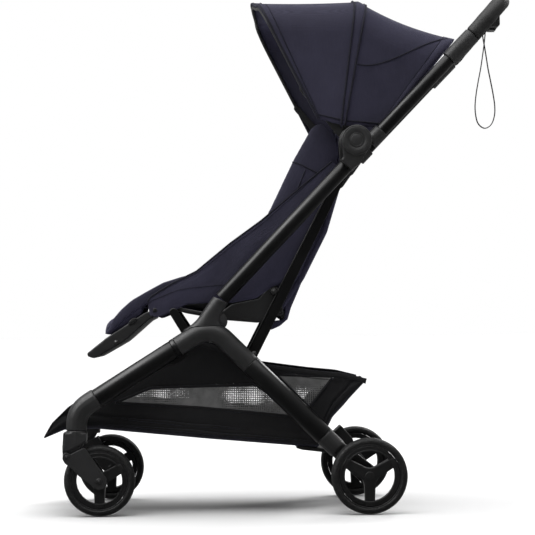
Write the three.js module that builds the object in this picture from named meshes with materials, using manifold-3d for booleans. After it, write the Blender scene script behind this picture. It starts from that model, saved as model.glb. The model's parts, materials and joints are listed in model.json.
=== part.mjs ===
// A folding baby stroller: two arch castings carry the legs, the seat tubes fold down over the rear legs,
// and the handle folds forward over the seat.
// Millimetres. +Z is up, the child faces -X, Y runs across the width, and Z = 0 is the ground.
import * as THREE from "three";
import { mergeVertices } from "three/addons/utils/BufferGeometryUtils.js";
import Module from "manifold-3d";

const wasm = await Module();
wasm.setup();

// ---- Driving dimensions -------------------------------------------------------------------------

const GAP = 0.3; // between pieces that touch

// Side-view points of the frame, [x, z].
const REAR_AXLE = [161, 71];
const FRONT_AXLE = [-341, 66.5];
const CASTER_X = -383; // the swivel axis is vertical
const CASTER_TOP = 160;
const ARM_PIVOT = [-400, 112];
const ELBOW_SEAM = [-344.6, 220];
const ELBOW_CORNER = [-383, 196];
const COLLAR_SEAM = [-193, 314.5];
const COLLAR_PIVOT = [-187, 301];
const ARCH_CORNER = [-131.7, 352.8];
const ARCH_SEAM = [-58, 280];
const LEG_END = [77.5, 146];
const MAIN_PIVOT = [-118, 362];
const SOCKET_SEAM = [-110, 403];
const TUBE_TOP = [124.8, 648.8];
const HUB = [144.4, 695.6];
const STRUT_TOP = [130, 645];
const STRUT_FOOT = [-50, 300];
const LINK_FOOT = [-168, 326];
const LINK_TOP = [-201, 379];
const SEAT_PIVOT = [-12, 416];
const RECLINE_PIVOT = [-2, 378];
const LEGREST_PIVOT = [-240, 377];
const ARM_SEAM = [193.5, 715.5];
const SLEEVE_LOW = [323, 849.5];
const GRIP_SEAM = [367, 894.5];
const CROSSBAR = [432.5, 968.5];
const CANOPY_PIVOT = [127, 703];

// Distances from the centre plane, inner and outer, of each layer of the frame.
const PLANE = 185; // centre of the legs and tubes
const LAYER = {
  rearWheel: [198, 224],
  rearHousing: [166.5, 197.4],
  hubDisc: [200.9, 222],
  knuckleEar: [186.2, 203],
  pivotFoot: [168, 185.8],
  armDisc: [165.9, 200.5],
  lug: [165.9, 168.6],
  frontBow: [163.1, 165.6],
  midBow: [160.3, 162.8],
  strut: [153.8, 159.8],
  sidePanel: [150.6, 152.8],
  cheek: [146.6, 149.8],
};

const RADIUS = {
  rearTyre: 71,
  frontTyre: 66.5,
  elbow: 19.8,
  frontLeg: 17.6,
  arch: 18.3,
  rearLeg: 18.6,
  socket: 15,
  mainTube: 14,
  hubBarrel: 16,
  hub: 28,
  armDisc: 27,
  armBarrel: 15.5,
  upperTube: 12.3,
  sleeve: 16,
  grip: 15.5,
  pin: 4.5,
  axle: 4.5,
  bow: 3.4,
};

const CANOPY = { halfWidth: 171, corner: 62, skin: 2.4 };
const BASKET = { halfWidth: 152.6, wall: 3 };
const STRAP = { width: 9, thickness: 1.8 };

// The wrist strap hangs from the release housing, crosses itself, and goes back in. [x, y, z].
const STRAP_ROUTE = [
  [410.5, 3, 934],
  [411.5, 3, 918],
  [414.5, 3.5, 900],
  [417.5, 3.5, 880],
  [421, 3, 855],
  [425.5, 2, 830],
  [430, 1, 804],
  [432.6, 0, 782],
  [432.2, 0, 764],
  [427.5, 0, 748],
  [420, 0, 739.5],
  [412, 0, 737],
  [404.5, 0, 740.5],
  [398, 0, 749],
  [394.6, 0, 764],
  [393.8, 0, 782],
  [396, -1, 804],
  [400.5, -2, 830],
  [405.5, -3, 855],
  [409.5, -3.5, 880],
  [412.5, -3.5, 900],
  [414.8, -3, 918],
  [416, -3, 932],
];

const COLOURS = {
  frame: { color: 0x1b1c1e, roughness: 0.42, metalness: 0.5 },
  casting: { color: 0x18191a, roughness: 0.6, metalness: 0 },
  tyre: { color: 0x151515, roughness: 0.85, metalness: 0 },
  navy: { color: 0x1d1c2c, roughness: 0.9, metalness: 0 },
  basket: { color: 0x101011, roughness: 0.95, metalness: 0 },
  grip: { color: 0x1a1a1b, roughness: 0.7, metalness: 0 },
  webbing: { color: 0x141416, roughness: 0.9, metalness: 0 },
};

// ---- Shape helpers ------------------------------------------------------------------------------

const materials = Object.fromEntries(
  Object.entries(COLOURS).map(([name, look]) => [name, new THREE.MeshStandardMaterial(look)]),
);
const stroller = new THREE.Group();

// Adds one named piece.
function add(name, geometry, material) {
  const mesh = new THREE.Mesh(geometry, materials[material]);
  mesh.name = name;
  stroller.add(mesh);
  return mesh;
}

// Adds a left and a right copy of a piece that is drawn on the right, where y is positive.
function addPair(name, geometry, material) {
  add(`${name}_right`, geometry, material);
  add(`${name}_left`, geometry, material).scale.set(1, -1, 1);
}

// The geometry as a solid for joining and cutting, turned to face outwards.
function solid(geometry) {
  const bare = geometry.clone();
  bare.deleteAttribute("normal");
  bare.deleteAttribute("uv");
  const merged = mergeVertices(bare, 1e-3);
  const vertProperties = merged.attributes.position.array;
  const triVerts = new Uint32Array(merged.index.array);
  const made = new wasm.Manifold(new wasm.Mesh({ numProp: 3, vertProperties, triVerts }));
  if (made.volume() > 0) return made;
  for (let i = 0; i < triVerts.length; i += 3) {
    [triVerts[i + 1], triVerts[i + 2]] = [triVerts[i + 2], triVerts[i + 1]];
  }
  return new wasm.Manifold(new wasm.Mesh({ numProp: 3, vertProperties, triVerts }));
}

// A solid as a geometry.
function shape(made) {
  const { vertProperties, triVerts } = made.getMesh();
  const geometry = new THREE.BufferGeometry();
  geometry.setAttribute("position", new THREE.BufferAttribute(new Float32Array(vertProperties), 3));
  geometry.setIndex(new THREE.BufferAttribute(new Uint32Array(triVerts), 1));
  geometry.computeVertexNormals();
  return geometry;
}

// Joins geometries, then cuts others away.
function join(parts, cuts = []) {
  let made = solid(parts[0]);
  for (const part of parts.slice(1)) made = made.add(solid(part));
  for (const tool of cuts) made = made.subtract(solid(tool));
  return shape(made);
}

// A flat piece with a side-view outline of [x, z] points, between two distances from the centre plane.
function plate(outline, [inner, outer], holes = []) {
  const profile = new THREE.Shape(outline.map(([x, z]) => new THREE.Vector2(x, z)));
  for (const hole of holes) {
    profile.holes.push(new THREE.Path(hole.map(([x, z]) => new THREE.Vector2(x, z))));
  }
  const geometry = new THREE.ExtrudeGeometry(profile, { depth: outer - inner, bevelEnabled: false });
  return geometry.rotateX(Math.PI / 2).translate(0, outer, 0);
}

// A circle of [x, z] points.
function circle([x, z], radius, sides = 20) {
  return Array.from({ length: sides }, (_, i) => {
    const turn = (2 * Math.PI * i) / sides;
    return [x + radius * Math.cos(turn), z + radius * Math.sin(turn)];
  });
}

// The [x, z] points of an arc between two angles in degrees.
function arc([x, z], radius, from, to, steps) {
  return Array.from({ length: steps + 1 }, (_, i) => {
    const turn = THREE.MathUtils.degToRad(from + ((to - from) * i) / steps);
    return [x + radius * Math.cos(turn), z + radius * Math.sin(turn)];
  });
}

// A disc whose axis runs across the width.
function disc(centre, radius, layer, sides = 20) {
  return plate(circle(centre, radius, sides), layer);
}

// The outline of a strap laid round two circles.
function belt([ax, az], aRadius, [bx, bz], bRadius, steps = 7) {
  const heading = Math.atan2(bz - az, bx - ax);
  const lean = Math.acos((aRadius - bRadius) / Math.hypot(bx - ax, bz - az));
  const outline = [];
  for (let i = 0; i <= steps; i++) {
    const turn = heading + lean + ((2 * Math.PI - 2 * lean) * i) / steps;
    outline.push([ax + aRadius * Math.cos(turn), az + aRadius * Math.sin(turn)]);
  }
  for (let i = 0; i <= steps; i++) {
    const turn = heading - lean + (2 * lean * i) / steps;
    outline.push([bx + bRadius * Math.cos(turn), bz + bRadius * Math.sin(turn)]);
  }
  return outline;
}

// A round bar between two points [x, y, z].
function rod(from, to, radius, sides = 16) {
  const start = new THREE.Vector3(...from);
  const along = new THREE.Vector3(...to).sub(start);
  const geometry = new THREE.CylinderGeometry(radius, radius, along.length(), sides);
  const turn = new THREE.Quaternion().setFromUnitVectors(
    new THREE.Vector3(0, 1, 0),
    along.clone().normalize(),
  );
  return geometry.applyQuaternion(turn).translate(...start.addScaledVector(along, 0.5).toArray());
}

// A side-view point put in the plane of the legs.
function inLegPlane([x, z]) {
  return [x, PLANE, z];
}

// A round bar in the plane of the legs, between two side-view points.
function legRod(from, to, radius, sides = 16) {
  return rod(inLegPlane(from), inLegPlane(to), radius, sides);
}

// The point at a distance from one side-view point towards another.
function towards([ax, az], [bx, bz], distance) {
  const share = distance / Math.hypot(bx - ax, bz - az);
  return [ax + (bx - ax) * share, az + (bz - az) * share];
}

// The side-view rectangle that a bar between two points covers.
function sleeveOutline([ax, az], [bx, bz], half) {
  const length = Math.hypot(bx - ax, bz - az);
  const [nx, nz] = [(-(bz - az) / length) * half, ((bx - ax) / length) * half];
  return [
    [ax + nx, az + nz],
    [ax - nx, az - nz],
    [bx - nx, bz - nz],
    [bx + nx, bz + nz],
  ];
}

// A path of straight runs with a rounded bend at each inner point. bends are lengths cut off each side.
function bentPath(points, bends) {
  const corners = points.map((point) => new THREE.Vector3(...point));
  const path = new THREE.CurvePath();
  let from = corners[0];
  for (let i = 1; i < corners.length - 1; i++) {
    const [before, corner, after] = corners.slice(i - 1, i + 2);
    const into = corner.clone().lerp(before, bends[i - 1] / corner.distanceTo(before));
    const out = corner.clone().lerp(after, bends[i - 1] / corner.distanceTo(after));
    path.add(new THREE.LineCurve3(from, into));
    path.add(new THREE.QuadraticBezierCurve3(into, corner, out));
    from = out;
  }
  path.add(new THREE.LineCurve3(from, corners.at(-1)));
  return path;
}

// A bar of an elliptical section swept along a path. across is the section's other half size.
function sweep(path, radius, { sides = 14, steps = 16, across = radius } = {}) {
  const section = new THREE.Shape(
    Array.from({ length: sides }, (_, i) => {
      const turn = (2 * Math.PI * i) / sides;
      return new THREE.Vector2(radius * Math.cos(turn), across * Math.sin(turn));
    }),
  );
  return new THREE.ExtrudeGeometry(section, { steps, bevelEnabled: false, extrudePath: path });
}

// A closed skin between an outer and an inner grid of points with the same rows and columns.
function skin(outer, inner) {
  const rows = outer.length;
  const columns = outer[0].length;
  const points = [...outer.flat(), ...inner.flat()];
  const under = rows * columns;
  const at = (row, column) => row * columns + column;
  const faces = [];
  const quad = (a, b, c, d) => faces.push(a, b, c, a, c, d);
  for (let r = 0; r < rows - 1; r++) {
    for (let c = 0; c < columns - 1; c++) {
      quad(at(r, c), at(r + 1, c), at(r + 1, c + 1), at(r, c + 1));
      quad(under + at(r, c), under + at(r, c + 1), under + at(r + 1, c + 1), under + at(r + 1, c));
    }
    quad(at(r + 1, 0), at(r, 0), under + at(r, 0), under + at(r + 1, 0));
    const last = columns - 1;
    quad(at(r, last), at(r + 1, last), under + at(r + 1, last), under + at(r, last));
  }
  for (let c = 0; c < columns - 1; c++) {
    quad(at(0, c), at(0, c + 1), under + at(0, c + 1), under + at(0, c));
    quad(at(rows - 1, c + 1), at(rows - 1, c), under + at(rows - 1, c), under + at(rows - 1, c + 1));
  }
  const geometry = new THREE.BufferGeometry();
  geometry.setAttribute("position", new THREE.Float32BufferAttribute(points.flat(), 3));
  geometry.setIndex(faces);
  return shape(solid(geometry));
}

// ---- Wheels -------------------------------------------------------------------------------------

// A tyre: a closed ring turned about the axle.
function tyre([x, z], outerRadius, innerRadius, centre, halfWidth) {
  const shoulder = 7;
  const profile = [
    [innerRadius, -halfWidth + 3],
    [outerRadius - shoulder, -halfWidth],
    [outerRadius - 2, -halfWidth + 5],
    [outerRadius, 0],
    [outerRadius - 2, halfWidth - 5],
    [outerRadius - shoulder, halfWidth],
    [innerRadius, halfWidth - 3],
    [innerRadius, -halfWidth + 3],
  ].map(([r, y]) => new THREE.Vector2(r, y));
  return shape(solid(new THREE.LatheGeometry(profile, 32).translate(x, centre, z)));
}

// A rim: a ring, three broad spokes and a hub, cut from one disc by three windows.
function rim(axle, ringOuter, ringInner, layer) {
  const [x, z] = axle;
  const hubRadius = 15;
  const spokeHalf = 9;
  const windows = [];
  for (const spoke of [270, 30, 150]) {
    const from = THREE.MathUtils.degToRad(spoke) + Math.asin(spokeHalf / ringInner);
    const to = THREE.MathUtils.degToRad(spoke + 120) - Math.asin(spokeHalf / ringInner);
    const middle = (from + to) / 2;
    const window = [];
    for (let i = 0; i <= 8; i++) {
      const turn = from + ((to - from) * i) / 8;
      window.push([x + ringInner * Math.cos(turn), z + ringInner * Math.sin(turn)]);
    }
    for (const turn of [middle + 0.42, middle, middle - 0.42]) {
      const radius = turn === middle ? hubRadius : hubRadius + 3;
      window.push([x + radius * Math.cos(turn), z + radius * Math.sin(turn)]);
    }
    windows.push(window);
  }
  const bore = circle(axle, RADIUS.axle + 0.4, 12);
  return plate(circle(axle, ringOuter, 32), layer, [...windows, bore]);
}

function wheels() {
  const [rearInner, rearOuter] = LAYER.rearWheel;
  const rearCentre = (rearInner + rearOuter) / 2;
  addPair("rear_tyre", tyre(REAR_AXLE, RADIUS.rearTyre, 57, rearCentre, 13), "tyre");
  addPair("rear_rim", rim(REAR_AXLE, 57 - GAP, 47, [rearInner + 3, rearOuter - 2]), "casting");
  addPair("front_tyre", tyre(FRONT_AXLE, RADIUS.frontTyre, 53, PLANE, 12.5), "tyre");
  addPair("front_rim", rim(FRONT_AXLE, 53 - GAP, 43.5, [PLANE - 11, PLANE + 11]), "casting");
}

// ---- Chassis ------------------------------------------------------------------------------------

// The arch casting: it holds the rear leg, carries the ears of the two main pivots, and the pins of the
// strut and of the seat link.
function knuckle() {
  const path = bentPath([COLLAR_SEAM, ARCH_CORNER, ARCH_SEAM].map(inLegPlane), [39]);
  const arch = sweep(path, RADIUS.arch, { sides: 16, steps: 14 });
  const mainEar = plate(belt(MAIN_PIVOT, 15, [MAIN_PIVOT[0], 336], 10), LAYER.knuckleEar);
  const collarEnd = towards(COLLAR_PIVOT, [-102, 354.1], 20);
  const collarEar = plate(belt(COLLAR_PIVOT, 9, collarEnd, 9), LAYER.knuckleEar);
  const pins = [LINK_FOOT, STRUT_FOOT].map((foot) =>
    disc(foot, RADIUS.pin, [LAYER.strut[0], LAYER.pivotFoot[0] + 6], 12),
  );
  const lugEnd = towards(STRUT_FOOT, [-64, 286], 12);
  const strutLug = plate(belt(STRUT_FOOT, 7.8, lugEnd, 7.8), LAYER.pivotFoot);
  const innerLayer = [160, LAYER.pivotFoot[1] + GAP];
  const socketPocket = disc(MAIN_PIVOT, 18.8, innerLayer, 28);
  const collarPocket = disc(COLLAR_PIVOT, 11.6, innerLayer, 24);
  const mainPin = disc(MAIN_PIVOT, RADIUS.pin, [LAYER.pivotFoot[0], LAYER.knuckleEar[0] + 4], 12);
  const body = join([arch, mainEar, collarEar, strutLug], [socketPocket, collarPocket]);
  return join([body, mainPin, ...pins]);
}

// The rear axle beam: a tube across the width with a leg socket at each end, bored for the axle.
function rearAxleBeam() {
  const parts = [disc(REAR_AXLE, 11, [-170, 170], 16)];
  const start = towards(LEG_END, ARCH_SEAM, -GAP);
  const waist = towards(LEG_END, ARCH_SEAM, -37);
  for (const sign of [1, -1]) {
    const [inner, outer] = LAYER.rearHousing;
    const layer = sign > 0 ? [inner, outer] : [-outer, -inner];
    parts.push(rod([start[0], sign * PLANE, start[1]], [waist[0], sign * PLANE, waist[1]], 18.4));
    parts.push(plate(belt(waist, 16, REAR_AXLE, 19), layer));
  }
  return join(parts, [disc(REAR_AXLE, RADIUS.axle + 0.4, [-230, 230], 12)]);
}

// The brake pedal: a ring round the axle beam with an arm up to a foot pad.
function brakePedal() {
  const [x, z] = REAR_AXLE;
  const across = [70, 128];
  const ring = disc(REAR_AXLE, 16, across, 20);
  const arm = plate(
    [
      [x - 14, z + 4],
      [x - 48, z + 58],
      [x - 50, z + 67],
      [x - 36, z + 80],
      [x - 14, z + 55],
      [x + 2, z + 15],
    ],
    across,
  );
  return join([ring, arm], [disc(REAR_AXLE, 11 + GAP, [60, 140], 20)]);
}

// The basket: an open fabric tray whose nose reaches out in front of the elbows.
function basket() {
  const outline = [
    [-448, 145],
    [-432, 172],
    [-401, 202],
    [-352, 234],
    [-344, 236],
    [-341.5, 219],
    [-320, 219],
    [-318, 249],
    [-190, 306],
    [-150, 322],
    [-112, 312],
    [-66, 272],
    [-33, 279],
    [60, 266],
    [118, 260],
    [162, 249],
    [128, 205],
    [98, 163],
    [70, 121],
    [-140, 140],
    [-347, 161],
    [-410, 160],
  ];
  const { halfWidth, wall } = BASKET;
  const hollow = [
    [-440, 150],
    [-425, 172],
    [-396, 200],
    [-350, 226],
    [-340, 420],
    [200, 420],
    [157, 247.5],
    [125, 205],
    [95, 164],
    [68, 124.4],
    [-140, 143.4],
    [-347, 164.4],
    [-409, 163.4],
  ];
  return join(
    [plate(outline, [-halfWidth, halfWidth])],
    [plate(hollow, [-halfWidth + wall, halfWidth - wall])],
  );
}

function chassis() {
  addPair("knuckle", knuckle(), "casting");
  addPair("rear_leg", legRod(towards(ARCH_SEAM, LEG_END, GAP), LEG_END, RADIUS.rearLeg, 18), "frame");
  add("rear_axle_beam", rearAxleBeam(), "casting");
  const reach = LAYER.rearWheel[1] - 3;
  add("rear_axle", disc(REAR_AXLE, RADIUS.axle, [-reach, reach], 12), "frame");
  add("brake_pedal", brakePedal(), "casting");
  add("basket", basket(), "basket");
}

// ---- Front legs and casters ---------------------------------------------------------------------

// The front leg tube, with the collar lug that turns on the arch casting.
function frontLeg() {
  const start = towards(COLLAR_SEAM, ELBOW_SEAM, 0.6);
  const tube = legRod(start, towards(ELBOW_SEAM, COLLAR_SEAM, GAP), RADIUS.frontLeg, 18);
  const lugEnd = towards(COLLAR_PIVOT, [-271.8, 248], 18);
  const lug = plate(belt(COLLAR_PIVOT, 11, lugEnd, 11), LAYER.pivotFoot);
  const earRoom = disc(COLLAR_PIVOT, 9.6, [LAYER.pivotFoot[1], 215], 24);
  return join([tube, lug], [earRoom]);
}

// The elbow: it turns the leg down to the vertical swivel, and is bored for the caster's stem.
function elbow() {
  const seat = [CASTER_X, CASTER_TOP + GAP];
  const path = bentPath([seat, ELBOW_CORNER, ELBOW_SEAM].map(inLegPlane), [27]);
  const bore = rod([CASTER_X, PLANE, CASTER_TOP - 5], [CASTER_X, PLANE, CASTER_TOP + 24], 6.5, 12);
  return join([sweep(path, RADIUS.elbow, { sides: 16, steps: 10 })], [bore]);
}

// The caster head: a round top with its stem, and a tongue that holds the swing arm's pin.
function casterHead() {
  const [px, pz] = ARM_PIVOT;
  const top = rod([CASTER_X, PLANE, 136], [CASTER_X, PLANE, CASTER_TOP], RADIUS.elbow, 20);
  const stem = rod([CASTER_X, PLANE, 150], [CASTER_X, PLANE, CASTER_TOP + 22], 6, 12);
  const cheek = plate(
    [
      [CASTER_X - 19.5, CASTER_TOP - 4],
      [px - 7.5, pz + 13],
      [px - 4, pz + 11.5],
      [px + 5, pz + 12],
      [CASTER_X + 19, 142],
      [CASTER_X + 19.4, CASTER_TOP - 4],
    ],
    [PLANE - 19, PLANE + 19],
  );
  const tongue = plate(belt(ARM_PIVOT, 7.2, [px + 4, pz + 19], 11), [PLANE - 13.4, PLANE + 13.4]);
  const bore = disc(ARM_PIVOT, RADIUS.pin + 0.4, [PLANE - 30, PLANE + 30], 12);
  return join([top, cheek, tongue, stem], [bore]);
}

// The swing arm: a plate each side of the wheel, held by the pivot pin and the axle bolt.
function swingArm() {
  const [px, pz] = ARM_PIVOT;
  const [ax, az] = FRONT_AXLE;
  const outline = [
    [px - 2, pz + 9],
    [px - 8, pz + 4],
    [px - 8.5, pz - 4],
    [px - 4, pz - 12],
    [px + 6, pz - 19],
    [px + 21, pz - 35],
    [ax - 15.5, az - 6],
    [ax - 11, az - 12],
    [ax - 2, az - 16],
    [ax + 8, az - 14],
    [ax + 15, az - 5],
    [ax + 14.5, az + 5],
    [ax - 7, az + 35],
    [px + 33.5, pz + 16.5],
    [px + 31, pz + 17],
    [px + 6, pz + 5],
  ];
  const outer = plate(outline, [PLANE + 14, PLANE + 19]);
  const inner = plate(outline, [PLANE - 19, PLANE - 14]);
  const pin = rod([px, PLANE - 15, pz], [px, PLANE + 15, pz], RADIUS.pin, 12);
  const axle = rod([ax, PLANE - 21, az], [ax, PLANE + 21, az], RADIUS.axle, 12);
  return join([outer, inner, pin, axle]);
}

function frontEnd() {
  addPair("front_leg", frontLeg(), "frame");
  addPair("elbow", elbow(), "casting");
  const bar = towards(ELBOW_SEAM, COLLAR_SEAM, 16.5);
  const reach = PLANE - RADIUS.frontLeg - GAP - 0.2;
  add("front_cross_bar", rod([bar[0], -reach, bar[1]], [bar[0], reach, bar[1]], 7, 12), "frame");
  addPair("caster_head", casterHead(), "casting");
  addPair("swing_arm", swingArm(), "casting");
}

// ---- Seat tubes and handle ----------------------------------------------------------------------

// The foot of the seat tube: a flared casting that stands on the arch and turns on the main pivot.
function tubeSocket() {
  const barrelStart = towards(SOCKET_SEAM, TUBE_TOP, -15);
  const barrel = legRod(barrelStart, towards(SOCKET_SEAM, TUBE_TOP, -GAP), RADIUS.socket, 18);
  const flare = plate(
    [
      [-124, 405],
      [-172, 357],
      [-150, 360.5],
      [-137, 361],
      [-124, 359],
      [-109, 375],
      [-101, 385],
      [-98.5, 394],
      [-110, 403],
    ],
    [PLANE - 15, PLANE + 15],
  );
  const foot = disc(MAIN_PIVOT, 18, LAYER.pivotFoot, 24);
  const earRoom = disc(MAIN_PIVOT, 15.7, [LAYER.pivotFoot[1], 215], 24);
  const bore = disc(MAIN_PIVOT, RADIUS.pin + 0.4, [150, 190], 12);
  const tubeEnd = legRod(towards(SOCKET_SEAM, TUBE_TOP, -GAP), TUBE_TOP, 25, 12);
  return join([barrel, flare, foot], [earRoom, bore, tubeEnd]);
}

// The lower half of the hinge: the round face, its web, and the socket of the seat tube.
function hub() {
  const [x, z] = HUB;
  const face = disc(HUB, RADIUS.hub, LAYER.hubDisc, 28);
  const low = towards(TUBE_TOP, SOCKET_SEAM, -GAP);
  const high = towards(TUBE_TOP, SOCKET_SEAM, -17);
  const webOuter = LAYER.hubDisc[1] - 4;
  const web = plate(belt(HUB, RADIUS.hub, high, RADIUS.hubBarrel), [LAYER.hubDisc[0], webOuter]);
  const barrel = legRod(low, high, RADIUS.hubBarrel, 18);
  const boss = plate(sleeveOutline(low, high, RADIUS.hubBarrel - 2), [PLANE, webOuter]);
  const armRoom = disc(HUB, RADIUS.armDisc + 1, [150, LAYER.hubDisc[0]], 28);
  const pin = rod([x, 186, z], [x, LAYER.hubDisc[0] + 6, z], 8, 16);
  return join([join([barrel, web, boss], [armRoom]), face, pin]);
}

// The upper half of the hinge: it holds the handle's tube, the strut's pin and the canopy's pin.
function armSocket() {
  const barrelStart = towards(ARM_SEAM, SLEEVE_LOW, -30);
  const barrelEnd = towards(ARM_SEAM, SLEEVE_LOW, -GAP);
  const barrel = legRod(barrelStart, barrelEnd, RADIUS.armBarrel, 18);
  const core = disc(HUB, RADIUS.armDisc, LAYER.armDisc, 28);
  const lug = plate(belt(HUB, 32, STRUT_TOP, 14, 9), LAYER.lug);
  const bore = disc(HUB, 8.4, [180, 210], 16);
  // The frame's loop is opened here: this pin stops just short of the strut.
  const strutPin = disc(STRUT_TOP, RADIUS.pin, [LAYER.strut[1] + 0.4, LAYER.lug[0] + 1], 12);
  const canopyPin = disc(CANOPY_PIVOT, RADIUS.pin, [LAYER.midBow[0], LAYER.lug[0] + 1], 12);
  return join([barrel, core, lug, strutPin, canopyPin], [bore]);
}

// The grip: one padded bar bent into a U between the two sleeves.
function grip() {
  const corner = [CROSSBAR[0], PLANE, CROSSBAR[1]];
  const start = [GRIP_SEAM[0] + 0.7, PLANE, GRIP_SEAM[1] + 0.8];
  const mirrored = (p) => [p[0], -p[1], p[2]];
  const path = bentPath([start, corner, mirrored(corner), mirrored(start)], [84, 84]);
  return shape(solid(sweep(path, RADIUS.grip, { sides: 12, steps: 30 })));
}

// The release housing under the crossbar, hollowed for the fold button and notched round the grip.
function releaseHousing() {
  const [x, z] = CROSSBAR;
  const body = plate(
    [
      [x - 25, z - 15],
      [x - 25, z - 30],
      [x - 20, z - 34],
      [x + 3, z - 36],
      [x + 8, z - 32],
      [x + 8, z - 12],
    ],
    [-36, 36],
  );
  const gripRoom = disc(CROSSBAR, RADIUS.grip + GAP + 0.5, [-50, 50], 28);
  const pocket = new THREE.BoxGeometry(14, 30, 20).translate(x - 4, 0, z - 36);
  return join([body], [gripRoom, pocket]);
}

function foldButton() {
  const [x, z] = CROSSBAR;
  return new THREE.BoxGeometry(13, 29, 9).translate(x - 4, 0, z - 34.5);
}

// The wrist strap: a flat webbing loop.
function wristStrap() {
  const path = new THREE.CatmullRomCurve3(STRAP_ROUTE.map((p) => new THREE.Vector3(...p)));
  const section = { sides: 8, steps: 36, across: STRAP.width / 2 };
  return shape(solid(sweep(path, STRAP.thickness / 2, section)));
}

function seatTubesAndHandle() {
  addPair("tube_socket", tubeSocket(), "casting");
  addPair("seat_tube", legRod(SOCKET_SEAM, TUBE_TOP, RADIUS.mainTube, 16), "frame");
  addPair("hub", hub(), "casting");
  addPair("arm_socket", armSocket(), "casting");
  const tubeEnd = towards(SLEEVE_LOW, ARM_SEAM, GAP);
  addPair("upper_tube", legRod(ARM_SEAM, tubeEnd, RADIUS.upperTube, 16), "frame");
  const sleeveEnd = towards(GRIP_SEAM, SLEEVE_LOW, GAP);
  addPair("sleeve", legRod(SLEEVE_LOW, sleeveEnd, RADIUS.sleeve, 16), "casting");
  add("grip", grip(), "grip");
  add("release_housing", releaseHousing(), "casting");
  add("fold_button", foldButton(), "casting");
  add("wrist_strap", wristStrap(), "webbing");
}

// ---- Struts and seat links ----------------------------------------------------------------------

function linkages() {
  const bore = (p) => disc(p, RADIUS.pin + 0.4, [140, 175], 12);
  const bar = plate(belt(STRUT_FOOT, 12, STRUT_TOP, 9), LAYER.strut);
  const seatBoss = disc(SEAT_PIVOT, 11, LAYER.strut);
  addPair("strut", join([bar, seatBoss], [STRUT_FOOT, SEAT_PIVOT, STRUT_TOP].map(bore)), "frame");
  const link = plate(belt(LINK_FOOT, 9, LINK_TOP, 8), LAYER.strut);
  addPair("seat_link", join([link], [bore(LINK_FOOT)]), "frame");
}

// ---- Seat ---------------------------------------------------------------------------------------

// The seat board: a thin shell with a cheek each side that rises to the struts.
function seatBoard() {
  const half = LAYER.cheek[1];
  const board = plate(
    [
      [-232, 393],
      [-236, 385],
      [-208, 386],
      [-183, 378.5],
      [-105, 364],
      [-40, 358],
      [-12, 362],
      [-12, 369],
      [-40, 366],
      [-105, 372],
      [-183, 387],
      [-208, 394],
    ],
    [-half, half],
  );
  const parts = [board];
  for (const sign of [1, -1]) {
    const layer = sign > 0 ? LAYER.cheek : [-LAYER.cheek[1], -LAYER.cheek[0]];
    const cheek = [
      [-125, 370],
      [-91, 393],
      [-40, 403],
      ...arc(SEAT_PIVOT, 12, 150, 30, 4),
      [3, 400],
      ...arc(RECLINE_PIVOT, 9, 30, -120, 5),
      [-16, 362],
      [-60, 362],
    ];
    parts.push(plate(cheek, layer));
    const pin = sign > 0 ? [LAYER.cheek[1] - 1, LAYER.strut[1]] : [-LAYER.strut[1], 1 - LAYER.cheek[1]];
    parts.push(disc(SEAT_PIVOT, RADIUS.pin, pin, 12));
  }
  return join(parts, [disc(RECLINE_PIVOT, RADIUS.pin + 0.4, [-170, 170], 12)]);
}

function seatCushion() {
  const outline = [
    [-232, 394.5],
    [-208, 395],
    [-183, 388],
    [-105, 373],
    [-40, 367],
    [-22, 368],
    [-24, 392],
    [-60, 398],
    [-150, 408],
    [-205, 416],
    [-228, 412],
    [-238, 403],
  ];
  return shape(solid(plate(outline, [-143, 143])));
}

// The recline bracket: a bar behind the seat with two ears, on the pin that the backrest turns on too.
function reclineBracket() {
  const [x, z] = RECLINE_PIVOT;
  const bar = plate(
    [
      [x + 5, z - 12],
      [x + 16, z - 17],
      [x + 19, z - 6],
      [x + 9.5, z - 5],
    ],
    [-130, 130],
  );
  const ear = belt(RECLINE_PIVOT, 7, [x + 12, z - 10], 6);
  const pin = rod([x, -LAYER.cheek[1], z], [x, LAYER.cheek[1], z], RADIUS.pin, 12);
  return join([bar, plate(ear, [120, 130]), plate(ear, [-130, -120]), pin]);
}

// The backrest shell: a board with rolled top, turning on the recline bracket's pin.
function backShell() {
  const [x, z] = RECLINE_PIVOT;
  const board = plate(
    [
      [x + 6, z + 2],
      [x + 47, z + 62],
      [x + 92, z + 150],
      [x + 118, z + 235],
      [x + 128, z + 305],
      [x + 122, z + 340],
      [x + 112, z + 342],
      [x + 119, z + 304],
      [x + 109, z + 237],
      [x + 83, z + 153],
      [x + 39, z + 66],
      [x - 2, z + 9],
    ],
    [-138, 138],
  );
  const knuckles = [-60, 60].map((y) => disc(RECLINE_PIVOT, 9, [y - 25, y + 25], 18));
  const bore = disc(RECLINE_PIVOT, RADIUS.pin + 0.4, [-150, 150], 12);
  const earRoom = [-125, 125].map((y) => disc(RECLINE_PIVOT, 12, [y - 5.6, y + 5.6], 16));
  return join([board, ...knuckles], [bore, ...earRoom]);
}

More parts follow.
